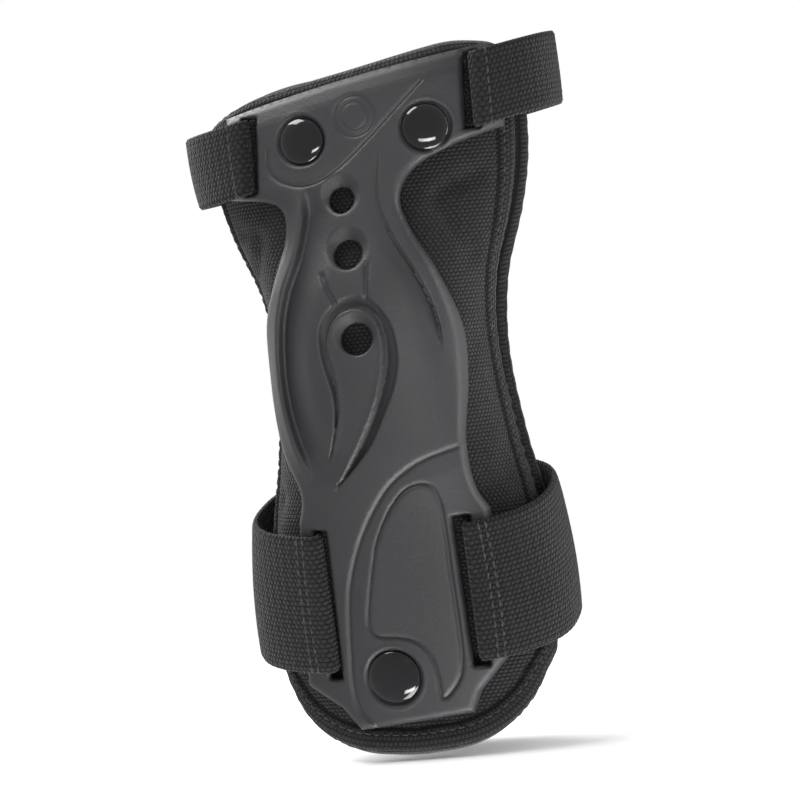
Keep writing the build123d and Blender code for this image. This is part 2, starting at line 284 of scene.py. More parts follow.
def smooth(low, high, value):
    """A smooth step from 0 at low to 1 at high."""
    s = np.clip((value - low) / (high - low), 0, 1)
    return s * s * (3 - 2 * s)


def groove(d, half_width, depth):
    """A sharp groove along d = 0."""
    return -depth * np.clip(1 - np.abs(d) / half_width, 0, 1)


def round_edge(d, radius):
    """How far a rounded edge falls at distance d in from it."""
    s = np.clip(1 - d / radius, 0, 1)
    return -radius * (1 - np.sqrt(np.maximum(0, 1 - s * s)))


# ---------------------------------------------------------------- meshes
def triangulate(outline, holes, spacing, lines=()):
    """Flat triangles over an outline with holes; along the sharp lines they follow the line."""
    low, high = outline.min(0), outline.max(0)
    row_step = spacing * math.sqrt(0.75)
    rows = np.arange(low[1] + row_step / 2, high[1], row_step)
    grid = []
    for k, z in enumerate(rows):
        ts = np.arange(low[0] + (spacing / 2 if k % 2 else 0), high[0], spacing)
        grid.append(np.stack([ts, np.full(len(ts), z)], axis=1))
    grid = np.concatenate(grid)
    keep = inside(grid, outline) & (distance(grid, outline, True) > spacing * 0.6)
    for hole in holes:
        keep &= ~inside(grid, hole) & (distance(grid, hole, True) > spacing * 0.6)
    grid = grid[keep]
    for line in lines:
        path = resample(line, spacing * 0.8)
        along = np.gradient(path, axis=0)
        across = np.stack([-along[:, 1], along[:, 0]], axis=1)
        across /= np.linalg.norm(across, axis=1, keepdims=True)
        extra = np.concatenate([path + 0.42 * k * across for k in (-1, 0, 1)])
        keep = inside(extra, outline) & (distance(extra, outline, True) > 0.5)
        for hole in holes:
            keep &= ~inside(extra, hole) & (distance(extra, hole, True) > 0.5)
        grid = np.concatenate([grid[distance(grid, path) > 0.42 + spacing * 0.55], extra[keep]])
    points, edges = [], []
    for loop in [outline, *holes]:
        first = len(points)
        points += [tuple(p) for p in loop]
        edges += [(first + k, first + (k + 1) % len(loop)) for k in range(len(loop))]
    points += [tuple(p) for p in grid]
    found, _, faces, *_ = delaunay_2d_cdt([Vector(p) for p in points], edges, [], 0, 1e-5)
    found = np.array([(v.x, v.y) for v in found])
    faces = np.array([f for f in faces if len(f) == 3])
    centres = found[faces].mean(1)
    keep = inside(centres, outline)
    for hole in holes:
        keep &= ~inside(centres, hole)
    return found, faces[keep]


def boundary(faces):
    """The directed edges that only one triangle uses."""
    edges = np.concatenate([faces[:, [0, 1]], faces[:, [1, 2]], faces[:, [2, 0]]])
    keys = np.sort(edges, axis=1)
    _, first, count = np.unique(keys, axis=0, return_index=True, return_counts=True)
    return edges[first[count == 1]]


def make_object(name, points_mm, faces, materials, uv=None, face_material=None, smooth_faces=True):
    """A finished mesh object at the origin, with its normals outward."""
    mesh = bpy.data.meshes.new(name)
    mesh.from_pydata((np.asarray(points_mm) * MM).tolist(), [], [list(map(int, f)) for f in faces])
    mesh.update()
    if uv is not None:
        layer = mesh.uv_layers.new(name="weave")
        index = np.empty(len(mesh.loops), int)
        mesh.loops.foreach_get("vertex_index", index)
        layer.data.foreach_set("uv", np.asarray(uv, float)[index].ravel())
    if face_material is not None:
        mesh.polygons.foreach_set("material_index", np.asarray(face_material, int))
    if smooth_faces:
        mesh.polygons.foreach_set("use_smooth", np.ones(len(mesh.polygons), bool))
    shape = bmesh.new()
    shape.from_mesh(mesh)
    bmesh.ops.recalc_face_normals(shape, faces=shape.faces)
    shape.to_mesh(mesh)
    shape.free()
    obj = bpy.data.objects.new(name, mesh)
    for material in materials:
        mesh.materials.append(material)
    bpy.context.scene.collection.objects.link(obj)
    return obj


def slab_mesh(name, outline, holes, spacing, outer, inner, materials, walls=3, lines=()):
    """A curved plate: outer and inner take flat points to points in space, joined by walls."""
    flat, triangles = triangulate(outline, holes, spacing, lines)
    top, bottom = outer(flat), inner(flat)
    n = len(flat)
    points = [top, bottom]
    faces = [*triangles, *(triangles[:, ::-1] + n)]
    rim = boundary(triangles)
    used = np.unique(rim)
    layers = [dict(zip(used, used))]
    base = 2 * n
    for k in range(1, walls):
        share = k / walls
        points.append(top[used] * (1 - share) + bottom[used] * share)
        layers.append({v: base + i for i, v in enumerate(used)})
        base += len(used)
    layers.append({v: v + n for v in used})
    for upper, lower in zip(layers, layers[1:]):
        faces += [(upper[b], upper[a], lower[a], lower[b]) for a, b in rim]
    uv = np.concatenate([flat, flat, *[flat[used]] * (walls - 1)])
    return make_object(name, np.concatenate(points), faces, materials, uv=uv)


def ribbon_mesh(name, rows, lengths, across, thickness, materials, relief=None):
    """Webbing or tape: rows[i, j] are the middle points along and across; its edges are rounded."""
    along = np.gradient(rows, axis=0)
    side = np.gradient(rows, axis=1)
    normal = np.cross(side, along)
    normal /= np.linalg.norm(normal, axis=2, keepdims=True)
    if (normal * rows * np.array([1, 1, 0])).sum() < 0:
        normal = -normal
    n, m = rows.shape[:2]
    edge = np.abs(np.linspace(-1, 1, m))
    half = thickness / 2 * np.sqrt(np.maximum(0.12, 1 - np.clip((edge - 0.9) / 0.1, 0, 1) ** 2))
    bump = relief(lengths[:, None], across) if relief else 0
    top = rows + normal * (half[None, :] + bump)[..., None]
    under = rows - normal * (half[None, :] + bump)[..., None]
    ring = np.concatenate([top, under[:, ::-1]], axis=1)
    k = 2 * m
    faces = []
    for i in range(n - 1):
        for j in range(k):
            j2 = (j + 1) % k
            faces.append((i * k + j, i * k + j2, (i + 1) * k + j2, (i + 1) * k + j))
    for i in (0, n - 1):
        for j in range(m - 1):
            faces.append((i * k + j, i * k + j + 1, i * k + k - 2 - j, i * k + k - 1 - j))
    wide = np.concatenate([across, across[:, ::-1]], axis=1)
    uv = np.stack([np.repeat(lengths, k), wide.ravel()], axis=1)
    return make_object(name, ring.reshape(-1, 3), faces, materials, uv=uv)


# ---------------------------------------------------------------- materials
def new_material(name, colour, roughness, specular=0.5, sheen=0.0):
    """A material with its shader and an empty node tree round it."""
    material = bpy.data.materials.new(name)
    material.use_nodes = True
    shader = material.node_tree.nodes["Principled BSDF"]
    shader.inputs["Base Color"].default_value = (*colour, 1)
    shader.inputs["Roughness"].default_value = roughness
    shader.inputs["Specular IOR Level"].default_value = specular
    shader.inputs["Sheen Weight"].default_value = sheen
    shader.inputs["Sheen Roughness"].default_value = 0.4
    return material, shader


def math_node(tree, operation, a, b=None):
    """A math node whose inputs are sockets or numbers."""
    node = tree.nodes.new("ShaderNodeMath")
    node.operation = operation
    for socket, value in zip(node.inputs, (a, b)):
        if value is None:
            continue
        if isinstance(value, (int, float)):
            socket.default_value = value
        else:
            tree.links.new(value, socket)
    return node.outputs[0]


def colour_mix(tree, factor, low, high):
    """A colour between two colours."""
    node = tree.nodes.new("ShaderNodeMix")
    node.data_type = "RGBA"
    tree.links.new(factor, node.inputs["Factor"])
    node.inputs["A"].default_value = (*low, 1)
    node.inputs["B"].default_value = (*high, 1)
    return node.outputs["Result"]


def noise(tree, scale, detail=3.0, vector=None):
    """A noise texture on Object coordinates."""
    node = tree.nodes.new("ShaderNodeTexNoise")
    node.inputs["Scale"].default_value = scale
    node.inputs["Detail"].default_value = detail
    if vector is None:
        vector = tree.nodes.new("ShaderNodeTexCoord").outputs["Object"]
    tree.links.new(vector, node.inputs["Vector"])
    return node.outputs["Fac"]


def add_bump(tree, shader, height, strength, depth, below=None):
    """A bump from a height, over another bump if given."""
    node = tree.nodes.new("ShaderNodeBump")
    node.inputs["Strength"].default_value = strength
    node.inputs["Distance"].default_value = depth
    tree.links.new(height, node.inputs["Height"])
    if below is not None:
        tree.links.new(below, node.inputs["Normal"])
    tree.links.new(node.outputs["Normal"], shader.inputs["Normal"])
    return node.outputs["Normal"]


def moulded_plastic(settings):
    """Dark grey moulded plastic with a fine grain and scuffed, slightly lighter patches."""
    material, shader = new_material("splint_plastic", settings.plastic_colour, 0.5, 0.42)
    tree = material.node_tree
    patches = noise(tree, 55.0, 4.0)
    tone = colour_mix(tree, patches, tuple(0.82 * c for c in settings.plastic_colour),
                      tuple(1.25 * c for c in settings.plastic_colour))
    tree.links.new(tone, shader.inputs["Base Color"])
    cloud = noise(tree, 120.0, 5.0)
    rough = math_node(tree, "ADD", math_node(tree, "MULTIPLY", cloud, 0.16), 0.44)
    tree.links.new(rough, shader.inputs["Roughness"])
    grain = noise(tree, 2600.0, 2.0)
    pebble = noise(tree, 900.0, 3.0)
    below = add_bump(tree, shader, pebble, 0.45, 0.00014)
    add_bump(tree, shader, grain, 0.7, 0.0001, below)
    return material


def woven(name, colour, pitch_along, pitch_across, depth, roughness=0.9, sheen=0.06, lift=2.4,
          stagger=0.5):
    """Woven cloth: staggered rows of thread bumps on the piece's own weave map, in millimetres, with a
    painted highlight on the thread tops and painted shade between the threads; lift sets how bright the
    painted highlight gets.
    """
    material, shader = new_material(name, colour, roughness, 0.18, sheen)
    tree = material.node_tree
    uv = tree.nodes.new("ShaderNodeUVMap")
    uv.uv_map = "weave"
    split = tree.nodes.new("ShaderNodeSeparateXYZ")
    tree.links.new(uv.outputs["UV"], split.inputs[0])
    row = math_node(tree, "DIVIDE", split.outputs["Y"], pitch_across)
    odd = math_node(tree, "MULTIPLY", math_node(tree, "FLOORED_MODULO", math_node(tree, "FLOOR", row), 2.0),
                    stagger)
    column = math_node(tree, "ADD", math_node(tree, "DIVIDE", split.outputs["X"], pitch_along), odd)
    waves = []
    for place, sharpness in ((column, 0.8), (row, 0.6)):
        turn = math_node(tree, "MULTIPLY", place, math.pi)
        wave = math_node(tree, "ABSOLUTE", math_node(tree, "SINE", turn))
        waves.append(math_node(tree, "POWER", wave, sharpness))
    height = math_node(tree, "MULTIPLY", *waves)
    fuzz = noise(tree, 1500.0, 2.0)
    patches = noise(tree, 45.0, 3.0)
    yarn = math_node(tree, "ADD", noise(tree, 620.0, 1.0), patches)
    # Base colour lighter on the thread tops and darker between the threads, a painted highlight and painted
    # shade, times the yarn's random tone
    yarn_tone_and_painted_highlight = math_node(tree, "MULTIPLY", height, math_node(tree, "MULTIPLY", yarn, 1.1))
    tone = colour_mix(tree, yarn_tone_and_painted_highlight, tuple(0.45 * c for c in colour), tuple(lift * c for c in colour))
    tree.links.new(tone, shader.inputs["Base Color"])
    below = add_bump(tree, shader, fuzz, 0.3, 0.0002)
    add_bump(tree, shader, height, 0.9, depth, below)
    return material


def cloth_by_object(name, colour, scale):
    """Brushed cloth or tape pile, on Object coordinates."""
    material, shader = new_material(name, colour, 0.9, 0.2, 0.3)
    tree = material.node_tree
    pile = noise(tree, scale, 4.0)
    tone = colour_mix(tree, pile, tuple(0.5 * c for c in colour), tuple(1.8 * c for c in colour))
    tree.links.new(tone, shader.inputs["Base Color"])
    add_bump(tree, shader, pile, 0.8, 0.0004)
    return material


def glossy_cap(settings):
    """Polished black plastic with the faintest ripple."""
    material, shader = new_material("rivet_gloss", settings.cap_colour, 0.07, 0.4)
    tree = material.node_tree
    tree.links.new(colour_mix(tree, noise(tree, 90.0), (0.003, 0.003, 0.0035), (0.007, 0.007, 0.008)),
                   shader.inputs["Base Color"])
    add_bump(tree, shader, noise(tree, 160.0, 1.0), 0.08, 0.0002)
    return material


def plain_metal():
    """Zinc-plated steel for the washers."""
    material, shader = new_material("washer_metal", (0.5, 0.5, 0.5), 0.35)
    shader.inputs["Metallic"].default_value = 1.0
    tree = material.node_tree
    tree.links.new(colour_mix(tree, noise(tree, 300.0), (0.42, 0.42, 0.43), (0.58, 0.58, 0.58)),
                   shader.inputs["Base Color"])
    return material


MATERIALS = {}


def make_materials(settings):
    """Every finish of the guard, by the record's slot name."""
    MATERIALS["splint_plastic"] = moulded_plastic(settings)
    MATERIALS["rivet_gloss"] = glossy_cap(settings)
    # lift: how bright each cloth's painted highlight on its thread tops is
    MATERIALS["webbing"] = woven("webbing", settings.webbing_colour, 1.35, 1.3, 0.00045, lift=3.2)
    MATERIALS["shell_fabric"] = woven("shell_fabric", settings.fabric_colour, 1.45, 1.05, 0.00045, lift=3.8)
    MATERIALS["edge_binding"] = woven("edge_binding", settings.binding_colour, 1.3, 1.5, 0.0004, lift=3.4)
    MATERIALS["gusset_fabric"] = woven("gusset_fabric", settings.fabric_colour, 1.0, 0.8, 0.0002)
    MATERIALS["lining_fabric"] = woven("lining_fabric", settings.fabric_colour, 0.9, 0.9, 0.0002, lift=1.8)
    MATERIALS["thread"] = cloth_by_object("thread", (0.022, 0.022, 0.024), 2500.0)
    MATERIALS["loop_tape"] = cloth_by_object("loop_tape", (0.018, 0.018, 0.02), 1300.0)
    MATERIALS["hook_tape"] = cloth_by_object("hook_tape", (0.02, 0.02, 0.021), 1000.0)
    MATERIALS["washer_metal"] = plain_metal()
    MATERIALS["pad_foam"] = cloth_by_object("pad_foam", (0.1, 0.1, 0.1), 700.0)


# ---------------------------------------------------------------- splints
PALM_OUTLINE = stretches([
    [(-35.4, 82.2), (2.0, 89.0), (38.6, 94.4)], [(38.6, 94.4), (43.8, 91.0)], [(43.8, 91.0), (41.5, 71.6)],
    [(41.5, 71.6), (28.2, 67.6), (17.8, 62.4), (13.6, 55.0), (16.2, 46.0), (22.0, 35.0), (26.4, 20.0),
     (26.4, 4.0), (24.6, -12.0), (25.4, -24.0), (28.4, -31.0)],
    [(28.4, -31.0), (29.8, -70.6)], [(29.8, -70.6), (20.4, -80.6)], [(20.4, -80.6), (17.6, -86.4)],
    [(17.6, -86.4), (-14.6, -89.2)], [(-14.6, -89.2), (-19.6, -82.6)], [(-19.6, -82.6), (-29.2, -76.0)],
    [(-29.2, -76.0), (-25.0, -30.6)],
    [(-25.0, -30.6), (-23.2, -22.2), (-28.2, -9.6), (-31.4, 8.0), (-30.2, 22.6), (-24.0, 36.0),
     (-19.4, 48.0), (-21.6, 56.6), (-37.2, 59.8)],
    [(-37.2, 59.8), (-35.4, 82.2)],
])
PALM_SLOTS = [
    [(-29.9, 81.4), (-25.3, 81.4), (-26.7, 60.4), (-31.3, 60.4)],
    [(33.2, 92.6), (37.6, 92.6), (36.6, 71.6), (32.2, 71.6)],
    [(-20.2, -32.8), (-16.6, -32.8), (-17.8, -74.2), (-21.4, -74.2)],
    [(18.9, -32.0), (23.5, -32.0), (23.9, -73.6), (19.3, -73.6)],
]
PALM_VENTS = [(-2.1, 56.0, 3.6), (-1.1, 41.1, 4.0), (-0.1, 18.2, 4.4)]
PALM_RIVETS = [(-12.4, 73.4, 6.4), (22.4, 73.4, 6.4), (-2.8, -74.9, 7.4)]
BACK_HALF = [
    [(0.0, 90.4), (32.6, 90.2)], [(32.6, 90.2), (37.6, 88.6), (39.8, 84.4)], [(39.8, 84.4), (41.0, 63.4)],
    [(41.0, 63.4), (34.2, 57.2), (26.6, 51.8), (22.0, 44.0), (20.1, 30.0), (20.0, 10.0), (21.8, -9.0),
     (26.0, -22.0), (32.4, -36.0)],
    [(32.4, -36.0), (34.4, -67.6)], [(34.4, -67.6), (25.3, -72.1)], [(25.3, -72.1), (18.4, -80.0)],
    [(18.4, -80.0), (0.0, -79.4)],
]
BACK_OUTLINE = stretches(BACK_HALF + [[(-t, z) for t, z in reversed(s)] for s in reversed(BACK_HALF)])
BACK_SLOT_HALF = [
    [(30.7, 85.0), (35.3, 85.0), (35.7, 63.7), (31.1, 63.7)],
    [(22.0, -27.0), (27.0, -27.0), (29.1, -66.0), (24.1, -66.0)],
]
BACK_SLOTS = BACK_SLOT_HALF + [[(-t, z) for t, z in reversed(s)] for s in BACK_SLOT_HALF]
BACK_VENTS = [(-7.4, 47.4, 4.6), (-1.6, 27.9, 4.6), (-0.4, 4.6, 4.6)]
BACK_RIVETS = [(17.5, 71.0, 6.0), (-17.5, 71.0, 6.0), (0.0, -51.0, 6.6)]

# The teardrop channel round the lowest palm vent: its outer side, then its inner side, tip to tip
TEAR_OUTER = spline([(-13.4, -15.6), (-11.3, -10.6), (-9.4, -4.7), (-8.6, 2.2), (-9.5, 8.0), (-10.8, 14.7),
                     (-10.6, 22.0), (-7.1, 27.4), (-1.6, 30.0), (4.7, 28.8), (9.6, 22.0), (10.9, 13.4),
                     (9.2, 5.1), (4.8, -3.7), (-1.0, -12.6), (-12.0, -22.6)])
TEAR_INNER = spline([(-13.0, -15.6), (-9.9, -9.4), (-7.6, -2.5), (-6.9, 4.4), (-7.5, 10.6), (-8.5, 16.4),
                     (-7.4, 21.6), (-4.2, 25.2), (0.6, 26.2), (5.0, 23.6), (6.9, 17.6), (6.1, 9.2),
                     (2.1, -1.2), (-4.4, -12.2), (-11.6, -22.0)])
LITTLE_RIDGE = spline([(-13.6, 60.0), (-14.0, 52.0), (-16.6, 42.0), (-20.6, 33.4), (-23.6, 24.0),
                       (-25.0, 12.0), (-24.6, 2.0), (-22.6, -8.0), (-19.2, -18.0)])
THUMB_CREASE = spline([(9.6, 68.0), (8.6, 55.0), (12.1, 44.8), (17.0, 35.9), (20.6, 27.1), (22.2, 20.2),
                       (22.6, 12.6)])
HEAD_LINE = spline([(22.7, 86.2), (14.6, 78.9), (6.2, 71.4), (-2.5, 64.6), (-9.1, 61.5), (-15.0, 61.3),
                    (-20.5, 63.7), (-23.0, 67.4), (-22.6, 71.5)])
OUTER_LINE = spline([(24.6, -12.9), (13.7, -15.9), (5.6, -20.4), (0.0, -25.9), (-6.3, -35.2), (-10.8, -45.5),
                     (-13.0, -54.5), (-14.2, -65.8), (-14.9, -75.7), (-13.8, -83.3), (-9.3, -88.5)])
INNER_LINE = spline([(14.1, -22.8), (16.4, -27.5), (16.9, -36.0), (16.8, -46.1), (17.0, -61.4),
                     (16.7, -71.3), (14.9, -77.2), (10.2, -81.6), (9.5, -75.1), (8.0, -69.0), (4.4, -65.2),
                     (-0.6, -63.8), (-5.7, -63.2), (-7.8, -60.6), (-7.5, -56.5), (-5.4, -47.6),
                     (-2.3, -37.1), (2.7, -28.5), (8.2, -23.4)], closed=True)
HEAD_TOP = spline([(-35.4, 82.2), (2.0, 89.0), (38.6, 94.4)])
STEM_LINES = [spline([(-8.6, 36.4), (-7.0, 32.0), (-5.4, 28.6)]),
              spline([(4.2, 37.9), (3.8, 33.0), (3.6, 29.2)])]
RING_PLACE = (3.2, 78.4)


def vent_relief(p, vents, reach, depth):
    """A bevelled crescent over each vent, deepest at the vent's upper side."""
    h = np.zeros(len(p))
    for t, z, radius in vents:
        away = np.linalg.norm(p - (t, z + reach * 0.85), axis=1)
        h = np.minimum(h, -depth * np.clip((radius + reach - away) / (1.7 * reach), 0, 1))
    return h


def channel(p, outer, inner, depth, lip):
    """A channel that slopes down from its outer side to a sharp step at its inner side."""
    ring = np.concatenate([outer, inner[::-1]])
    within = inside(p, ring)
    d_out, d_in = distance(p, outer), distance(p, inner)
    share = d_out / (d_out + d_in + 1e-6)
    h = np.where(within, -depth * (0.25 + 0.75 * share) * smooth(0, 0.5, d_out) * smooth(0, 0.35, d_in), 0)
    tongue = ~within & (d_in < d_out)
    return h + np.where(tongue, lip * np.exp(-(d_in / 1.0) ** 2), 0)


def palm_relief(p):
    """Height of the palm splint's face over its plain surface, in mm."""
    z = p[:, 1]
    h = round_edge(distance(p, PALM_OUTLINE, True), 1.9)
    for slot in PALM_SLOTS:
        h = h + round_edge(distance(p, resample(np.array(slot), 1.0, True), True), 0.9)
    top = distance(p, HEAD_TOP)
    h += -1.4 * np.clip(1 - top / 5.2, 0, 1)
    h += groove(top - 5.2, 0.5, 0.12)
    # Little finger's side: a crest with a flute inside it
    d = signed(p, LITTLE_RIDGE)
    fade = smooth(-22, -8, z) * (1 - smooth(52, 62, z))
    h += fade * (0.6 * np.exp(-((d + 0.2) / 1.4) ** 2)
                 - np.where(d > 0, 2.1 * smooth(0.2, 2.0, d) * (1 - smooth(2.8, 12.0, d)), 0)
                 - np.where(d < 0, 0.9 * smooth(1.0, 6.0, -d), 0))
    # Thumb's side: a sharp crease with a raised rim outside it
    d = signed(p, THUMB_CREASE)
    run = smooth(10, 24, z) * (1 - smooth(62, 70, z))
    deep = 0.5 + 0.5 * (1 - smooth(38, 56, z))
    h += run * (-1.25 * deep * smooth(0.1, 0.5, -d) * np.exp(-(d / 5.0) ** 2)
                + 0.35 * (1 - smooth(4, 9, np.abs(d)))
                + groove(d + 0.42, 0.5, 0.9 * deep))
    # Neck: the middle column stands a little proud
    neck = smooth(44, 52, z) * (1 - smooth(60, 68, z))
    h += neck * 0.5 * np.exp(-((p[:, 0] + 2.5) / 7.0) ** 2)
    h += channel(p, TEAR_OUTER, TEAR_INNER, 2.3, 0.2)
    h = h + vent_relief(p, PALM_VENTS[:2], 2.1, 2.2)
    teardrop = np.concatenate([TEAR_INNER, TEAR_INNER[:1]])
    h = h + vent_relief(p, PALM_VENTS[2:], 1.7, 1.8) * inside(p, teardrop)
    for line in STEM_LINES:
        h += groove(distance(p, line), 0.9, 0.8)
    h += groove(distance(p, HEAD_LINE), 0.5, 0.55)
    d = signed(p, OUTER_LINE)
    h += groove(d, 0.6, 0.8) - 0.3 * smooth(0.0, 0.5, d) * (1 - smooth(0.5, 6.0, d))
    d = distance(p, INNER_LINE, True)
    h += groove(d, 0.55, 0.75) + 0.3 * smooth(0.0, 0.5, d) * inside(p, INNER_LINE)
    # A plain ring between the upper rivets, left standing between two engraved circles
    ring = np.linalg.norm(p - RING_PLACE, axis=1)
    h += groove(ring - 5.5, 0.6, 0.5) + groove(ring - 3.9, 0.55, 0.4)
    return h + rivet_seats(p, PALM_RIVETS)


def rivet_seats(p, rivets):
    """The shallow seat and the lip round each rivet cap."""
    h = np.zeros(len(p))
    for t, z, radius in rivets:
        away = np.linalg.norm(p - (t, z), axis=1)
        h += -1.0 * (1 - smooth(radius + 0.1, radius + 0.9, away))
        h += 0.15 * np.exp(-((away - radius - 1.3) / 0.4) ** 2)
    return h


BACK_TEARS = [
    spline([(-2.4, 35.5), (-2.6, 42.0), (-2.2, 47.5), (-3.2, 51.6), (-7.6, 53.8),
            (-12.0, 52.4), (-13.8, 48.0),
            (-12.0, 43.0), (-7.8, 33.6)]),
    spline([(1.6, 12.4), (2.8, 20.0), (3.9, 27.9), (2.6, 32.4), (-1.8, 34.4), (-6.2, 32.6), (-7.9, 28.4),
            (-6.8, 22.0), (-4.0, 12.0)]),
    spline([(-5.0, -20.0), (1.0, -12.2), (4.2, -3.6), (5.4, 4.8), (4.0, 9.4), (-0.6, 11.6), (-5.4, 9.8),
            (-7.4, 4.6), (-7.8, -3.4), (-8.0, -11.2), (-11.2, -20.4)]),
]
BACK_LINES = [np.array([(-4.9, 60.3), (37.8, 62.0)]), np.array([(-4.9, 60.3), (19.6, 18.0)])]


def back_relief(p):
    """Height of the back splint's face over its plain surface, in mm."""
    h = round_edge(distance(p, BACK_OUTLINE, True), 1.7)
    for slot in BACK_SLOTS:
        h = h + round_edge(distance(p, resample(np.array(slot), 1.0, True), True), 0.9)
    for tear, (t, z, radius) in zip(BACK_TEARS, BACK_VENTS):
        d = distance(p, tear)
        h += groove(d, 0.9, 1.3)
        within = inside(p, tear)
        h += np.where(within, 0.35 * np.exp(-((d - 1.5) / 0.7) ** 2) - 0.7 * smooth(1.8, 3.4, d), 0)
        outer_flare = ~within & (p[:, 0] > t) & (p[:, 1] > z - 22)
        h += np.where(outer_flare, -0.8 * (1 - smooth(0.5, 3.4, d)), 0)
        away = np.linalg.norm(p - (t, z), axis=1)
        h += -0.7 * (1 - smooth(radius, radius + 1.3, away))
    for line in BACK_LINES:
        h += groove(distance(p, line), 0.5, 0.55)
    return h + rivet_seats(p, BACK_RIVETS)


PALM_SHARP = [circle(*RING_PLACE, 5.5), circle(*RING_PLACE, 3.9), HEAD_LINE, OUTER_LINE,
              np.concatenate([INNER_LINE, INNER_LINE[:1]]), THUMB_CREASE, TEAR_INNER, TEAR_OUTER,
              *STEM_LINES]
BACK_SHARP = [*BACK_TEARS, *BACK_LINES]


def make_splint(name, side, outline, slots, vents, rivets, level, under, relief, spacing, lines):
    """One moulded splint as a solid plate with its relief, standing for the CAD plate."""
    seats = [circle(t, z, radius - 2.0) for t, z, radius in rivets]
    cuts = [resample(np.array(s, float), 1.0, True) for s in slots]
    holes = [circle(*vent) for vent in vents] + cuts + seats
    splint = slab_mesh(name, outline, holes, spacing,
                       lambda p: face_point(side, p[:, 0], p[:, 1],
                                            np.maximum(level + relief(p), under + 0.8)),
                       lambda p: face_point(side, p[:, 0], p[:, 1], under),
                       [MATERIALS["splint_plastic"]], lines=lines)
    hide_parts(name)
    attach(splint, "sleeve")
    return splint


# ---------------------------------------------------------------- padded panels and their bindings
# Each panel's top and bottom line as (t, z), from the little finger's side to the thumb's
PANEL_TOP = {
    PALM: [(-60, 76.0), (-44, 81.0), (-37, 84.5), (-28, 87.2), (2, 91.6), (31, 96.6), (44, 95.0), (60, 90.0)],
    BACK: [(-60, 80.0), (-44, 86.0), (-37, 90.0), (-28, 92.2), (0, 94.6), (28, 93.2), (37, 91.0), (44, 87.0),
           (60, 81.0)],
}
PANEL_BOTTOM = {
    PALM: [(-60, -60.0), (-38, -76.0), (-35.2, -83.6), (-30.5, -89.4), (-24.0, -93.8), (-16, -96.6),
           (0, -97.8), (16, -96.6), (24.0, -93.8), (30.5, -89.4), (35.2, -83.6), (38, -76.0), (60, -60.0)],
    BACK: [(-60, -60.0), (-37, -68.0), (-34.0, -75.2), (-29.5, -80.0), (-23.4, -83.9), (-16, -86.4),
           (0, -87.6), (16, -86.4), (23.4, -83.9), (29.5, -80.0), (34.0, -75.2), (37, -68.0), (60, -60.0)],
}
SIDE_EDGE = 3.5                                     # a panel's edge, from the side's middle line
THUMB_EDGE = np.array([(-110, 3.5), (8, 3.5), (24, 6.0), (44, 8.5), (66, 9.5), (110, 10.0)])
PAD_DEPTH = 6.2
SEAM_HOLD = 8.8           # a pad is sewn down this far in from its edge
LINING_SWELL = 0.9        # the most that the filling lifts the lining
COVERED_LIFT, FREE_LIFT = 0.75, 9.0    # the shell fabric's highest lift under a splint, and beside one
FOLD_DEPTH, FOLD_AWAY, FOLD_SPREAD = 2.0, 9.5, 1.9    # the fold that follows a splint's edge
PLATE_LEVEL, PALM_PLATE, BACK_PLATE = 0.6, 3.4, 3.2    # the splints' inner face, and each outer face
SPLINT_SPACING, QUICK_SPACING = 0.62, 1.1
GUSSETS = (("pinky", False, -69, 73), ("thumb", True, -69, 2))    # name, thumb side, bottom, top


def edge_line(face, line, s):
    """The z of a panel's top or bottom line at each s round the face."""
    t_at, z_at = np.array(line, float).T
    z = np.full(len(s), z_at.mean())
    for _ in range(12):
        z = 0.5 * z + 0.5 * np.interp(-face.point(s, z, 0.0)[:, 0], t_at, z_at)
    return z


def panel_outline(side):
    """A panel's edge laid flat, as a closed path of (s, z)."""
    face = FACES[side]

    def side_s(z, thumb):
        z = np.atleast_1d(np.asarray(z, float))
        y = np.interp(z, *THUMB_EDGE.T) if thumb else np.full(len(z), SIDE_EDGE)
        return face.s_of_edge(y, z, thumb)

    corners = {}
    for key, line in (("top", PANEL_TOP[side]), ("bottom", PANEL_BOTTOM[side])):
        for thumb in (False, True):
            z = np.array([85.0 if key == "top" else -74.0])
            for _ in range(12):
                z = 0.5 * z + 0.5 * edge_line(face, line, side_s(z, thumb))
            corners[key, thumb] = float(z[0])
    rows = {thumb: np.arange(corners["bottom", thumb], corners["top", thumb], 1.5) for thumb in (False, True)}
    thumb_side = np.stack([side_s(rows[True], True), rows[True]], axis=1)
    little_side = np.stack([side_s(rows[False], False), rows[False]], axis=1)[::-1]
    across = np.arange(thumb_side[-1, 0], little_side[0, 0], -1.5)
    top = np.stack([across, edge_line(face, PANEL_TOP[side], across)], axis=1)
    across = np.arange(little_side[-1, 0], thumb_side[0, 0], 1.5)
    bottom = np.stack([across, edge_line(face, PANEL_BOTTOM[side], across)], axis=1)
    return soften(resample(np.concatenate([thumb_side, top, little_side, bottom]), 1.3, True), 14)


def inset_path(path, amount, step=1.3):
    """The closed path moved in by an amount."""
    along = np.roll(path, -1, axis=0) - np.roll(path, 1, axis=0)
    normal = np.stack([-along[:, 1], along[:, 0]], axis=1)
    normal /= np.linalg.norm(normal, axis=1, keepdims=True)
    area = 0.5 * np.sum(path[:, 0] * np.roll(path[:, 1], -1) - np.roll(path[:, 0], -1) * path[:, 1])
    moved = path + normal * (amount if area > 0 else -amount)
    moved = moved[distance(moved, path, True) > amount - 0.12]
    return soften(resample(moved, step, True), 2)


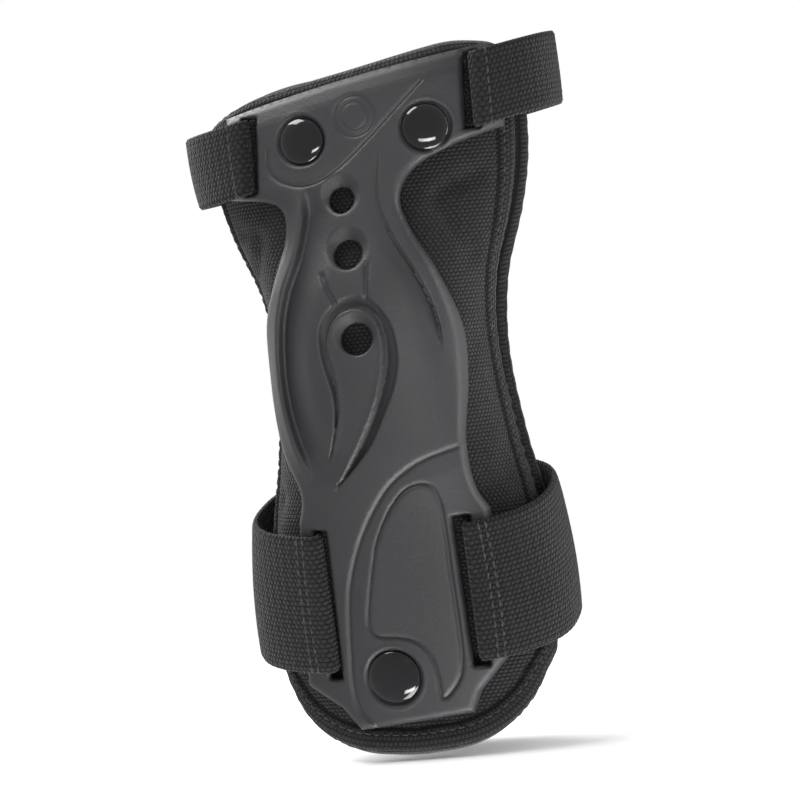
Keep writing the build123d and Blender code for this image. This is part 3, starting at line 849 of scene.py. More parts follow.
def nearest(points, path):
    """Distance to a closed path, and how far along it the nearest place is."""
    p = np.concatenate([path, path[:1]])
    run = np.concatenate([[0], np.cumsum(np.linalg.norm(np.diff(p, axis=0), axis=1))])
    best, along = np.full(len(points), 1e9), np.zeros(len(points))
    for a, b, start in zip(p[:-1], p[1:], run):
        edge = b - a
        s = np.clip(((points - a) @ edge) / max(edge @ edge, 1e-12), 0, 1)
        d = np.linalg.norm(points - a - s[:, None] * edge, axis=1)
        nearer = d < best
        best, along = np.where(nearer, d, best), np.where(nearer, start + s * np.linalg.norm(edge), along)
    return best, along, run[-1]


PANEL_OUTLINES = {side: panel_outline(side) for side in (PALM, BACK)}


def bound_drop(d, reach=3.6, height=3.2):
    """How far the bound edge rounds off at distance d in from it."""
    s = np.clip(1 - d / reach, 0, 1)
    return height * (1 - np.sqrt(np.maximum(0, 1 - s * s)))


def under_splint(side, flat, margin):
    """Which places (s, z) of a panel lie under its splint, in from the splint's edge by the margin."""
    x = FACES[side].point(flat[:, 0], flat[:, 1], 0.0)[:, 0]
    places = np.stack([-x, flat[:, 1]], axis=1)
    outline = PALM_OUTLINE if side > 0 else BACK_OUTLINE
    return inside(places, outline) & (distance(places, outline, True) > margin)


def fill_with_cloth(obj, pinned, settings):
    """Inflates a sewn pad with a short cloth simulation and returns how far each point moved."""
    group = obj.vertex_groups.new(name="sewn down")
    group.add([int(v) for v in np.flatnonzero(pinned)], 1.0, "REPLACE")
    modifier = obj.modifiers.new("filling", "CLOTH")
    cloth = modifier.settings
    cloth.quality = 6
    cloth.mass = 0.1
    cloth.use_pressure = True
    cloth.uniform_pressure_force = settings.fill_pressure
    cloth.effector_weights.gravity = 0
    cloth.vertex_group_mass = group.name
    modifier.collision_settings.use_collision = False
    modifier.point_cache.frame_start, modifier.point_cache.frame_end = 1, 20
    scene = bpy.context.scene
    scene.frame_start, scene.frame_end = 1, 20
    for frame in range(1, 21):
        scene.frame_set(frame)
    filled = obj.evaluated_get(bpy.context.evaluated_depsgraph_get())
    moved = np.array([v.co for v in filled.data.vertices]) - np.array([v.co for v in obj.data.vertices])
    obj.modifiers.remove(modifier)
    obj.vertex_groups.remove(group)
    scene.frame_set(1)
    return moved / MM


def make_panel_pad(name, side, settings):
    """One padded panel: shell fabric outside, lining inside, swollen by its foam between the seams."""
    face, edge = FACES[side], PANEL_OUTLINES[side]
    outline = inset_path(edge, 2.6, 2.4)

    def level_at(flat, top):
        drop = bound_drop(distance(flat, outline, True), 3.4, 2.3)
        return (-0.45 - drop) if top else (0.25 - PAD_DEPTH + drop)

    spacing = 3.0
    pad = slab_mesh(name, outline, [], spacing, lambda p: face.point(p[:, 0], p[:, 1], level_at(p, True)),
                    lambda p: face.point(p[:, 0], p[:, 1], level_at(p, False)),
                    [MATERIALS["shell_fabric"], MATERIALS["lining_fabric"]], walls=2)
    mesh = pad.data
    flat = np.empty((len(mesh.vertices), 2))
    loops = np.empty(len(mesh.loops), int)
    mesh.loops.foreach_get("vertex_index", loops)
    uv = np.empty(len(mesh.loops) * 2)
    mesh.uv_layers["weave"].data.foreach_get("uv", uv)
    flat[loops] = uv.reshape(-1, 2)
    rest = np.array([v.co for v in mesh.vertices]) / MM
    out = face.point(flat[:, 0], flat[:, 1], 1.0) - face.point(flat[:, 0], flat[:, 1], 0.0)
    out /= np.linalg.norm(out, axis=1, keepdims=True)
    skin = face.point(flat[:, 0], flat[:, 1], -PAD_DEPTH / 2)
    outer = ((rest - skin) * out).sum(1) > 0
    d = distance(flat, edge, True)
    held = outer & under_splint(side, flat, 1.5)
    pinned = (d < SEAM_HOLD) | held
    moved = fill_with_cloth(pad, pinned, settings)
    rise = (moved * out).sum(1) * np.where(outer, 1, -1)
    cap = np.where(outer, settings.pad_swell / MM, LINING_SWELL)
    rise = cap * np.tanh(np.clip(rise, 0, None) / cap) * ~pinned
    # Soft creases where the wrist bends, and slack between the seams
    s, z = flat.T
    wave = np.sin(0.31 * z + 0.05 * s + 1.7 * np.sin(0.11 * s)) + 0.6 * np.sin(0.53 * z - 0.13 * s + 2.0)
    crease = 0.16 * wave * smooth(9.0, 14.0, d) * np.where(outer & ~under_splint(side, flat, -2.0), 1.0, 0.5)
    away = distance(np.stack([-rest[:, 0], z], axis=1), PALM_OUTLINE if side > 0 else BACK_OUTLINE, True)
    fold = FOLD_DEPTH * np.exp(-((away - FOLD_AWAY) / FOLD_SPREAD) ** 2) * smooth(10.0, 14.0, d)
    fold = fold * smooth(-34, -20, z)
    crease -= fold * (1 - smooth(56, 66, z)) * (outer & ~under_splint(side, flat, 0.0))
    covered = inside(np.stack([-rest[:, 0], z], axis=1), PALM_OUTLINE if side > 0 else BACK_OUTLINE)
    limit = np.where(outer & covered, COVERED_LIFT, FREE_LIFT)
    lift = np.minimum(rise + crease * ~held, limit)
    final = rest + out * (lift * np.where(outer, 1, -1))[:, None]
    mesh.vertices.foreach_set("co", (final * MM).ravel())
    inner_faces = [not outer[list(p.vertices)].any() for p in mesh.polygons]
    mesh.polygons.foreach_set("material_index", np.array(inner_faces, int))
    finish_with_subdivision(pad, 1)
    return pad


def finish_with_subdivision(obj, levels):
    """Smooths a mesh by subdivision and keeps the result as its plain mesh."""
    modifier = obj.modifiers.new("smooth", "SUBSURF")
    modifier.levels = modifier.render_levels = levels
    graph = bpy.context.evaluated_depsgraph_get()
    mesh = bpy.data.meshes.new_from_object(obj.evaluated_get(graph), depsgraph=graph)
    obj.modifiers.remove(modifier)
    old, obj.data = obj.data, mesh
    bpy.data.meshes.remove(old)
    mesh.name = obj.name


def close_pattern(mesh, period):
    """Lets a pattern that runs round a closed edge meet itself."""
    layer = mesh.uv_layers["weave"].data
    for face in mesh.polygons:
        us = [layer[i].uv[0] for i in face.loop_indices]
        if max(us) - min(us) > period / 2:
            for i in face.loop_indices:
                if layer[i].uv[0] < period / 2:
                    layer[i].uv[0] += period


def make_binding(name, side, settings):
    """The ribbed tape that wraps a panel's edge, outside and inside."""
    face, edge = FACES[side], PANEL_OUTLINES[side]
    width = settings.binding_width / MM
    hole = inset_path(edge, width)
    stitch = width - 1.9

    def level(flat, top):
        d, along, _ = nearest(flat, edge)
        plump = 0.28 * np.exp(-((d - 3.4) / 2.0) ** 2) + 0.07 * np.sin(2 * math.pi * along / 5.2)
        sewn = -0.3 * np.exp(-((d - stitch) / 0.55) ** 2)
        height = (0.42 - bound_drop(d) + (plump + sewn) * smooth(0.5, 2.0, d)
                  - 0.95 * smooth(width - 0.9, width, d))
        return height if top else -PAD_DEPTH - height

    tape = slab_mesh(name, edge, [hole], 1.15, lambda p: face.point(p[:, 0], p[:, 1], level(p, True)),
                     lambda p: face.point(p[:, 0], p[:, 1], level(p, False)),
                     [MATERIALS["edge_binding"]])
    mesh = tape.data
    loops = np.empty(len(mesh.loops), int)
    mesh.loops.foreach_get("vertex_index", loops)
    uv = np.empty(len(mesh.loops) * 2)
    layer = mesh.uv_layers["weave"].data
    layer.foreach_get("uv", uv)
    d, along, total = nearest(uv.reshape(-1, 2), edge)
    ribs = round(total / 1.3)
    layer.foreach_set("uv", np.stack([along * (ribs * 1.3 / total), d], axis=1).ravel())
    close_pattern(mesh, ribs * 1.3)
    return tape


def make_gusset(name, thumb, low, high):
    """The strip of stretch knit between the two panels along one side, with its small cross folds."""
    z = np.arange(low, high + 0.01, 0.8)
    y = np.linspace(-4.6, 4.6, 15)
    a = station(z, 1)[:, None]
    folds = (0.22 * np.sin(2 * math.pi * z / 4.6)[:, None]
             + 0.12 * np.sin(2 * math.pi * z / 2.9 + 1.1)[:, None])
    level = -1.9 + folds - 0.45 * np.cos(math.pi * y / 9.2)[None, :]
    depth = np.where(y[None, :] > 0, station(z, 2)[:, None], station(z, 3)[:, None]) + level
    x = (a + level) * (1 - (np.abs(y)[None, :] / depth) ** SQUARENESS) ** (1 / SQUARENESS)
    rows = np.stack([-x if thumb else x, y[None, :] + 0 * x, z[:, None] + 0 * x], axis=-1)
    return ribbon_mesh(name, rows, z - low, y[None, :] + 0 * x, 1.0, [MATERIALS["gusset_fabric"]])


# ---------------------------------------------------------------- straps
STRAP, TAIL, PATCH = 1.5, 1.4, 0.7
TAPE_GAP, RUNNING_GAP, HINGE_LIFT = 0.2, 0.35, 0.2
PALM_STRAP_LEVEL, TAIL_LEVEL = 4.0, 4.8
LOOP_LEVEL = TAIL_LEVEL + TAIL + TAPE_GAP
HOOK_LEVEL = LOOP_LEVEL + PATCH + RUNNING_GAP
FLAP_LEVEL = HOOK_LEVEL + PATCH + TAPE_GAP
STRAPS = {
    "hand": {
        "centre_z": 77.8, "slopes": (0.17, -0.08), "width": 20.0, "flap_sides": 5.0, "tail_sides": 7.0,
        "slots": (-27.6, 34.2), "hinge_angle": 32.0, "tab": (6.0, 17.5), "hook": (5.0, -14.0),
        "tail_end": -12.0, "loop": (16.5, -11.0), "end_radius": 9.0,
    },
    "forearm": {
        "centre_z": -46.0, "slopes": (0.0, -0.26), "width": 38.0, "flap_sides": 5.0, "tail_sides": 3.4,
        "slots": (-18.0, 20.7), "hinge_angle": 32.0, "tab": (21.0, 33.0), "hook": (20.0, -4.0),
        "tail_end": -6.0, "loop": (28.0, -5.0), "end_radius": 4.0,
    },
}


def strap_angle(strap, t, levels, face):
    """The angle in degrees of the place t across one face."""
    a = float(station(strap["centre_z"], 1)) + levels[0]
    from_side = math.degrees(math.acos((abs(t) / a) ** (SQUARENESS / 2)))
    if t > 0:
        from_side = 180 - from_side
    return from_side if face == "palm" else 360 - from_side


def strap_surface(strap, angles, levels, across):
    """Points round a strap, a row for each angle; across runs from -1 at the forearm edge to 1."""
    turn = np.radians(angles)[:, None] + 0 * across[None, :]
    c, s = np.cos(turn), np.sin(turn)
    slope_t, slope_y = strap["slopes"]
    half = across[None, :] * strap["width"] / 2 * math.sqrt(1 + slope_t**2 + slope_y**2)
    z = np.full(turn.shape, strap["centre_z"])
    for _ in range(8):
        x = (station(z, 1) + levels[0]) * power(c)
        y = np.where(s > 0, station(z, 2) + levels[1], station(z, 3) + levels[2]) * power(s)
        z = strap["centre_z"] - slope_t * x + slope_y * y + half
    return np.stack([x, y, z], axis=-1)


def strap_foot(strap, t, level, across):
    """One row across a strap where it passes through the palm splint's slot."""
    slope_t, slope_y = strap["slopes"]
    half = across * strap["width"] / 2 * math.sqrt(1 + slope_t**2 + slope_y**2)
    z = np.full(across.shape, strap["centre_z"])
    for _ in range(8):
        y = face_point(PALM, np.full(across.shape, t), z, level)[:, 1]
        z = strap["centre_z"] + slope_t * t + slope_y * y + half
    return np.stack([np.full(across.shape, -t), y, z], axis=-1)


def even_rows(rows, step, end_radius=0.0):
    """Smooths rows into evenly spaced ones; an end radius rounds the last end's corners."""
    n, m = rows.shape[:2]
    flat = rows.reshape(n, -1)
    padded = np.concatenate([2 * flat[:1] - flat[1:2], flat, 2 * flat[-1:] - flat[-2:-1]])
    fine = []
    for k in range(n - 1):
        a, b, c, d = padded[k:k + 4]
        s = np.linspace(0, 1, 8, endpoint=False)[:, None]
        fine.append(0.5 * (2 * b + (c - a) * s + (2 * a - 5 * b + 4 * c - d) * s**2
                           + (3 * b - a - 3 * c + d) * s**3))
    fine = np.concatenate(fine + [flat[-1:]]).reshape(-1, m, 3)
    steps = np.linalg.norm(np.diff(fine, axis=0), axis=2)
    run = np.concatenate([np.zeros((1, m)), np.cumsum(steps, axis=0)])
    total = run[-1].mean()
    lengths = np.linspace(0, total, int(total / step))
    width = np.linalg.norm(fine[-1, -1] - fine[-1, 0])
    from_edge = (1 - np.abs(np.linspace(-1, 1, m))) * width / 2
    share = np.clip(1 - from_edge / max(end_radius, 1e-6), 0, 1)
    cut = end_radius * (1 - np.sqrt(1 - share**2))
    out = np.empty((len(lengths), m, 3))
    for j in range(m):
        ease = smooth(total - 2.5 * end_radius - 1, total, lengths)
        at = lengths / total * run[-1, j] - cut[j] * ease
        for k in range(3):
            out[:, j, k] = np.interp(at, run[:, j], fine[:, j, k])
    return out, lengths


def rib_relief(length, across):
    """The cross ribs of the webbing, two small rows of threads to a rib."""
    rib = np.abs(np.sin(math.pi * length / 2.7)) ** 0.7
    return 0.16 * rib + 0.03 * np.cos(2 * math.pi * across / 2.6 + math.pi * np.floor(length / 1.35))


def webbing_piece(name, strap, levels, thickness, start, end, foot=None, end_radius=0.0, step=0.45,
                  material="webbing", relief=rib_relief):
    """A length of webbing between two angles; a foot (t, direction) takes its start through a slot."""
    across = np.linspace(-1, 1, max(17, int(strap["width"] / 0.85)))
    middle = [level + thickness / 2 for level in levels]
    if foot:
        t, direction = foot
        t += direction * (thickness / 2 + 0.5)
        start = strap_angle(strap, t + direction * 2.6, middle, "palm")
    rows = strap_surface(strap, np.linspace(start, end, 34), middle, across)
    if foot:
        feet = [strap_foot(strap, t, 0.8, across), strap_foot(strap, t, 2.2, across),
                strap_foot(strap, t + direction * 0.25, 3.6, across),
                strap_foot(strap, t + direction * 1.1, 4.5, across)]
        rows = np.concatenate([np.array(feet), rows])
    rows, lengths = even_rows(rows, step, end_radius)
    wide = across[None, :] * strap["width"] / 2 + 0 * lengths[:, None]
    return ribbon_mesh(name, rows, lengths, wide, thickness, [MATERIALS[material]], relief)


def strap_levels(strap):
    """The levels of a strap's flap and of its tail: over the sides, the palm and the back."""
    return ((strap["flap_sides"], PALM_STRAP_LEVEL, FLAP_LEVEL),
            (strap["tail_sides"], PALM_STRAP_LEVEL, TAIL_LEVEL))


def make_strap(key):
    """One strap: band with its flap, pull tab and tail."""
    strap = STRAPS[key]
    over, under = strap_levels(strap)
    little_slot, thumb_slot = strap["slots"]
    tab = strap_angle(strap, strap["tab"][0], over, "back") - 360
    end = strap_angle(strap, strap["tab"][1], over, "back") - 360
    band = webbing_piece(f"{key}_strap_band", strap, over, STRAP, None, tab, (little_slot, -1))
    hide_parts(f"{key}_strap_anchor", f"{key}_strap_flap")
    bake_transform(band)
    pull = webbing_piece(f"{key}_strap_pull_end", strap, over, STRAP, tab, end,
                         end_radius=strap["end_radius"])
    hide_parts(f"{key}_strap_pull_tab")
    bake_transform(pull)
    tail_end = strap_angle(strap, strap["tail_end"], under, "back")
    tail = webbing_piece(f"{key}_strap_tail_webbing", strap, under, TAIL, None, tail_end, (thumb_slot, 1))
    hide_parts(f"{key}_strap_tail")
    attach(tail, "sleeve")


def make_tapes(key):
    """The hook and loop tapes of one strap."""
    strap = dict(STRAPS[key], width=STRAPS[key]["width"] - 3)
    for label, level, places, sides, body in (
        ("hook", HOOK_LEVEL, strap["hook"], strap["flap_sides"] - PATCH - TAPE_GAP, f"{key}_flap"),
        ("loop", LOOP_LEVEL, strap["loop"], strap["tail_sides"] + TAIL + TAPE_GAP, "sleeve"),
    ):
        levels = (sides, PALM_STRAP_LEVEL, level)
        first, last = (strap_angle(strap, t, levels, "back") for t in places)
        tape = webbing_piece(f"{key}_{label}_pile", strap, levels, PATCH, first, last, step=0.8,
                             material=f"{label}_tape", relief=None)
        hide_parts(f"{key}_{label}_tape")
        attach(tape, body)


# ---------------------------------------------------------------- repeated parts by Geometry Nodes
def new_tree(name, inputs):
    """A Geometry Nodes tree with named inputs, its input node and its output node."""
    tree = bpy.data.node_groups.new(name, "GeometryNodeTree")
    tree.interface.new_socket("Geometry", in_out="INPUT", socket_type="NodeSocketGeometry")
    for label, kind in inputs:
        tree.interface.new_socket(label, in_out="INPUT", socket_type=kind)
    tree.interface.new_socket("Geometry", in_out="OUTPUT", socket_type="NodeSocketGeometry")
    return tree, tree.nodes.new("NodeGroupInput"), tree.nodes.new("NodeGroupOutput")


def attribute_node(tree, name, kind):
    """Reads a named attribute of the points."""
    node = tree.nodes.new("GeometryNodeInputNamedAttribute")
    node.data_type = kind
    node.inputs["Name"].default_value = name
    return node.outputs["Attribute"]


def place_on_points(tree, points, instance, rotation, scale, material, output):
    """Instances a shape on points, makes it real and gives it its material."""
    spread = tree.nodes.new("GeometryNodeInstanceOnPoints")
    tree.links.new(points, spread.inputs["Points"])
    tree.links.new(instance, spread.inputs["Instance"])
    tree.links.new(rotation, spread.inputs["Rotation"])
    tree.links.new(scale, spread.inputs["Scale"])
    smooth_node = tree.nodes.new("GeometryNodeSetShadeSmooth")
    real = tree.nodes.new("GeometryNodeRealizeInstances")
    finish = tree.nodes.new("GeometryNodeSetMaterial")
    tree.links.new(spread.outputs["Instances"], real.inputs["Geometry"])
    tree.links.new(real.outputs["Geometry"], smooth_node.inputs["Geometry"])
    tree.links.new(smooth_node.outputs["Geometry"], finish.inputs["Geometry"])
    tree.links.new(material, finish.inputs["Material"])
    tree.links.new(finish.outputs["Geometry"], output.inputs["Geometry"])


def turn_to(tree, axis, vector, start=None, pivot="AUTO"):
    """A rotation that turns an axis to a vector."""
    node = tree.nodes.new("FunctionNodeAlignRotationToVector")
    node.axis, node.pivot_axis = axis, pivot
    tree.links.new(vector, node.inputs["Vector"])
    if start is not None:
        tree.links.new(start, node.inputs["Rotation"])
    return node.outputs["Rotation"]


def stitch_tree():
    """Runs of thread stitches along edges, lying on the surface whose direction is the out attribute."""
    tree, source, output = new_tree("Stitches", [
        ("Pitch", "NodeSocketFloat"), ("Length", "NodeSocketFloat"), ("Thickness", "NodeSocketFloat"),
        ("Thread", "NodeSocketMaterial")])
    curve = tree.nodes.new("GeometryNodeMeshToCurve")
    points = tree.nodes.new("GeometryNodeCurveToPoints")
    points.mode = "LENGTH"
    bead = tree.nodes.new("GeometryNodeMeshIcoSphere")
    bead.inputs["Radius"].default_value = 0.5
    bead.inputs["Subdivisions"].default_value = 2
    size = tree.nodes.new("ShaderNodeCombineXYZ")
    tree.links.new(source.outputs["Geometry"], curve.inputs["Mesh"])
    tree.links.new(curve.outputs["Curve"], points.inputs["Curve"])
    tree.links.new(source.outputs["Pitch"], points.inputs["Length"])
    tree.links.new(source.outputs["Length"], size.inputs["X"])
    tree.links.new(source.outputs["Thickness"], size.inputs["Y"])
    tree.links.new(source.outputs["Thickness"], size.inputs["Z"])
    along = turn_to(tree, "X", points.outputs["Tangent"])
    rotation = turn_to(tree, "Z", attribute_node(tree, "out", "FLOAT_VECTOR"), along, "X")
    place_on_points(tree, points.outputs["Points"], bead.outputs["Mesh"], rotation, size.outputs["Vector"],
                    source.outputs["Thread"], output)
    return tree


def rivet_tree():
    """Domed caps on points, each of its own radius, standing in the direction of the out attribute."""
    tree, source, output = new_tree("Rivet caps", [
        ("Dome Height", "NodeSocketFloat"), ("Segments", "NodeSocketInt"), ("Finish", "NodeSocketMaterial")])
    dome = tree.nodes.new("GeometryNodeMeshUVSphere")
    dome.inputs["Radius"].default_value = 1.0
    dome.inputs["Rings"].default_value = 28
    size = tree.nodes.new("ShaderNodeCombineXYZ")
    radius = attribute_node(tree, "radius", "FLOAT")
    tree.links.new(source.outputs["Segments"], dome.inputs["Segments"])
    tree.links.new(radius, size.inputs["X"])
    tree.links.new(radius, size.inputs["Y"])
    tree.links.new(source.outputs["Dome Height"], size.inputs["Z"])
    rotation = turn_to(tree, "Z", attribute_node(tree, "out", "FLOAT_VECTOR"))
    place_on_points(tree, source.outputs["Geometry"], dome.outputs["Mesh"], rotation, size.outputs["Vector"],
                    source.outputs["Finish"], output)
    return tree


def grow(obj, tree, values):
    """Runs a tree on an object and keeps the result as its plain mesh."""
    modifier = obj.modifiers.new(tree.name, "NODES")
    modifier.node_group = tree
    for item in tree.interface.items_tree:
        if item.in_out == "INPUT" and item.name in values:
            modifier[item.identifier] = values[item.name]
    graph = bpy.context.evaluated_depsgraph_get()
    mesh = bpy.data.meshes.new_from_object(obj.evaluated_get(graph), depsgraph=graph)
    obj.modifiers.remove(modifier)
    old, obj.data = obj.data, mesh
    bpy.data.meshes.remove(old)
    mesh.name = obj.name


def point_object(name, points, out, edges=(), radius=None):
    """Points, joined by edges if given, that carry their outward direction and their radius."""
    mesh = bpy.data.meshes.new(name)
    mesh.from_pydata((np.asarray(points) * MM).tolist(), list(edges), [])
    mesh.attributes.new("out", "FLOAT_VECTOR", "POINT").data.foreach_set(
        "vector", np.asarray(out, float).ravel())
    if radius is not None:
        mesh.attributes.new("radius", "FLOAT", "POINT").data.foreach_set("value", np.asarray(radius) * MM)
    obj = bpy.data.objects.new(name, mesh)
    bpy.context.scene.collection.objects.link(obj)
    return obj


def direction_out(side, t, z, level):
    """The outward direction of one face at (t, z)."""
    t, z = np.atleast_1d(t).astype(float), np.atleast_1d(z).astype(float)
    step = 0.5
    across = face_point(side, t + step, z, level) - face_point(side, t - step, z, level)
    upward = face_point(side, t, z + step, level) - face_point(side, t, z - step, level)
    out = np.cross(across, upward)
    out /= np.linalg.norm(out, axis=1, keepdims=True)
    return out * np.sign(out[:, 1:2] * side)


def make_rivet_caps(name, side, rivets, level, settings):
    """The glossy domed caps of one splint's rivets."""
    t, z, radius = np.array(rivets).T
    out = direction_out(side, t, z, level)
    places = face_point(side, t, z, level) - 0.7 * out
    caps = point_object(name, places, out, radius=radius)
    grow(caps, rivet_tree(), {"Dome Height": settings.dome_height, "Segments": 56,
                              "Finish": MATERIALS["rivet_gloss"]})
    return caps


def stitch_runs(name, runs, settings):
    """Sews runs of points (points, outward directions, closed) with thread."""
    points, out, edges, first = [], [], [], 0
    for line, normals, closed in runs:
        n = len(line)
        points.append(line)
        out.append(normals)
        edges += [(first + k, first + (k + 1) % n) for k in range(n if closed else n - 1)]
        first += n
    sewn = point_object(name, np.concatenate(points), np.concatenate(out), edges)
    grow(sewn, stitch_tree(), {"Pitch": settings.stitch_pitch, "Length": settings.stitch_length,
                               "Thickness": settings.thread_thickness, "Thread": MATERIALS["thread"]})
    return sewn


def binding_stitches(name, side, settings):
    """The stitch line that holds a panel's binding down."""
    face = FACES[side]
    path = inset_path(PANEL_OUTLINES[side], settings.binding_width / MM - 1.9)
    line = face.point(path[:, 0], path[:, 1], 0.38)
    out = face.point(path[:, 0], path[:, 1], 1.4) - line
    return stitch_runs(name, [(line, out / np.linalg.norm(out, axis=1, keepdims=True), True)], settings)


def strap_stitches(key, settings):
    """The stitching on a strap: a box on the flap over the hook tape, and rows beside the palm slots."""
    strap = STRAPS[key]
    over, under = strap_levels(strap)
    boxed, rows = [], []

    def run(levels, thickness, angles, across):
        top = [level + thickness + 0.1 for level in levels]
        above = [level + 1.0 for level in top]
        angles, across = np.broadcast_arrays(np.asarray(angles, float), np.asarray(across, float))
        line = np.array([strap_surface(strap, np.array([a]), top, np.array([e]))[0, 0]
                         for a, e in zip(angles, across)])
        high = np.array([strap_surface(strap, np.array([a]), above, np.array([e]))[0, 0]
                         for a, e in zip(angles, across)])
        out = high - line
        return line, out / np.linalg.norm(out, axis=1, keepdims=True), False

    hook = [strap_angle(strap, t, over, "back") - 360 for t in strap["hook"]]
    inner = 1 - 4.4 / strap["width"]
    for e in (-inner, inner):
        boxed.append(run(over, STRAP, np.linspace(*hook, 24), e))
    for angle in hook:
        boxed.append(run(over, STRAP, angle, np.linspace(-inner, inner, 12)))
    feet = (over, STRAP, strap["slots"][0], -1), (under, TAIL, strap["slots"][1], 1)
    for levels, thickness, slot, direction in feet:
        for step in ((5.2, 7.0) if key == "forearm" else (5.0,)):
            angle = strap_angle(strap, slot + direction * step, levels, "palm")
            rows.append(run(levels, thickness, angle, np.linspace(-0.93, 0.93, 16)))
    seams = (f"{key}_flap_stitches", boxed, f"{key}_flap"), (f"{key}_slot_stitches", rows, "sleeve")
    for name, runs, body in seams:
        sewn = stitch_runs(name, runs, settings)
        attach(sewn, body)


# ---------------------------------------------------------------- settings
class WristGuardColours(bpy.types.PropertyGroup):
    plastic_colour: bpy.props.FloatVectorProperty(
        name="Splint plastic", description="Colour of the two moulded splints", subtype="COLOR", size=3,
        default=(0.0125, 0.0128, 0.0142), min=0, max=1)
    cap_colour: bpy.props.FloatVectorProperty(
        name="Rivet caps", description="Colour of the domed rivet caps", subtype="COLOR", size=3,
        default=(0.008, 0.008, 0.009), min=0, max=1)
    fabric_colour: bpy.props.FloatVectorProperty(
        name="Shell fabric", description="Colour of the panels' woven shell and of the lining",
        subtype="COLOR",
        size=3, default=(0.0048, 0.0048, 0.0053), min=0, max=1)
    webbing_colour: bpy.props.FloatVectorProperty(
        name="Webbing", description="Colour of both straps", subtype="COLOR", size=3,
        default=(0.0046, 0.0046, 0.0051), min=0, max=1)
    binding_colour: bpy.props.FloatVectorProperty(
        name="Edge binding", description="Colour of the tape round each panel", subtype="COLOR", size=3,
        default=(0.0042, 0.0042, 0.0046), min=0, max=1)


class WristGuardSizes(bpy.types.PropertyGroup):
    binding_width: bpy.props.FloatProperty(
        name="Binding width", description="How far the binding reaches in from a panel's edge", unit="LENGTH",
        default=0.008, min=0.004, max=0.012, precision=4)
    pad_swell: bpy.props.FloatProperty(
        name="Pad swell", description="The most that the filling lifts the shell fabric", unit="LENGTH",
        default=0.0021, min=0, max=0.003, precision=4)
    fill_pressure: bpy.props.FloatProperty(
        name="Filling pressure", description="Pressure that swells the pads in the cloth simulation",
        default=4.0, min=0, max=20)
    dome_height: bpy.props.FloatProperty(
        name="Dome height", description="Half height of a rivet cap's dome", unit="LENGTH",
        default=0.0019, min=0.001, max=0.004, precision=4)
    stitch_pitch: bpy.props.FloatProperty(
        name="Stitch pitch", description="Distance from one stitch to the next", unit="LENGTH",
        default=0.0027, min=0.001, max=0.006, precision=4)
    stitch_length: bpy.props.FloatProperty(
        name="Stitch length", description="Length of one stitch", unit="LENGTH",
        default=0.0019, min=0.0005, max=0.005, precision=4)
    thread_thickness: bpy.props.FloatProperty(
        name="Thread thickness", description="Thickness of the sewing thread", unit="LENGTH",
        default=0.00055, min=0.0002, max=0.001, precision=5)


class WristGuardStage(bpy.types.PropertyGroup):
    azimuth: bpy.props.FloatProperty(
        name="Camera azimuth",
        description="Where the camera stands round the guard, from the back of the hand",
        subtype="ANGLE", unit="ROTATION", default=math.radians(195))
    elevation: bpy.props.FloatProperty(
        name="Camera elevation", description="How far the camera looks down", subtype="ANGLE",
        unit="ROTATION",
        default=math.radians(1.5))
    lean: bpy.props.FloatProperty(
        name="Lean", description="How far the guard's top leans to the left in the view", subtype="ANGLE",
        unit="ROTATION", default=math.radians(6))
    camera_distance: bpy.props.FloatProperty(
        name="Camera distance", description="Distance from the guard's middle to the camera", unit="LENGTH",
        default=0.9, min=0.3, max=3)
    view_width: bpy.props.FloatProperty(
        name="View width", description="Width of the view at the guard", unit="LENGTH",
        default=0.2235, min=0.1, max=1, precision=4)
    floor_colour: bpy.props.FloatVectorProperty(
        name="Floor", description="Colour of the floor", subtype="COLOR", size=3, default=(0.82, 0.82, 0.82),
        min=0, max=1)


# ---------------------------------------------------------------- operators
class WRISTGUARD_OT_finishes(bpy.types.Operator):
    """Makes the guard's materials"""
    bl_idname = "wrist_guard.finishes"
    bl_label = "Make finishes"

    def execute(self, context):
        make_materials(context.scene.wrist_guard_colours)
        return {"FINISHED"}


class WRISTGUARD_OT_splints(bpy.types.Operator):
    """Makes the two moulded splints"""
    bl_idname = "wrist_guard.splints"
    bl_label = "Make splints"

    def execute(self, context):
        spacing = SPLINT_SPACING
        make_splint("palm_splint", PALM, PALM_OUTLINE, PALM_SLOTS, PALM_VENTS, PALM_RIVETS, PALM_PLATE,
                    PLATE_LEVEL, palm_relief, spacing, PALM_SHARP)
        make_splint("back_splint", BACK, BACK_OUTLINE, BACK_SLOTS, BACK_VENTS, BACK_RIVETS, BACK_PLATE,
                    PLATE_LEVEL, back_relief, spacing, BACK_SHARP)
        return {"FINISHED"}


class WRISTGUARD_OT_rivets(bpy.types.Operator):
    """Makes the rivet caps and finishes the washers"""
    bl_idname = "wrist_guard.rivets"
    bl_label = "Make rivets"

    def execute(self, context):
        sizes = context.scene.wrist_guard_sizes
        sides = ("palm", PALM, PALM_RIVETS, PALM_PLATE), ("back", BACK, BACK_RIVETS, BACK_PLATE)
        for key, side, rivets, level in sides:
            caps = make_rivet_caps(f"{key}_rivet_domes", side, rivets, level, sizes)
            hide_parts(f"{key}_rivet_caps")
            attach(caps, "sleeve")
            washers = frame["nodes"][f"{key}_rivet_washers"]
            washers.data.materials.clear()
            washers.data.materials.append(MATERIALS["washer_metal"])
        return {"FINISHED"}


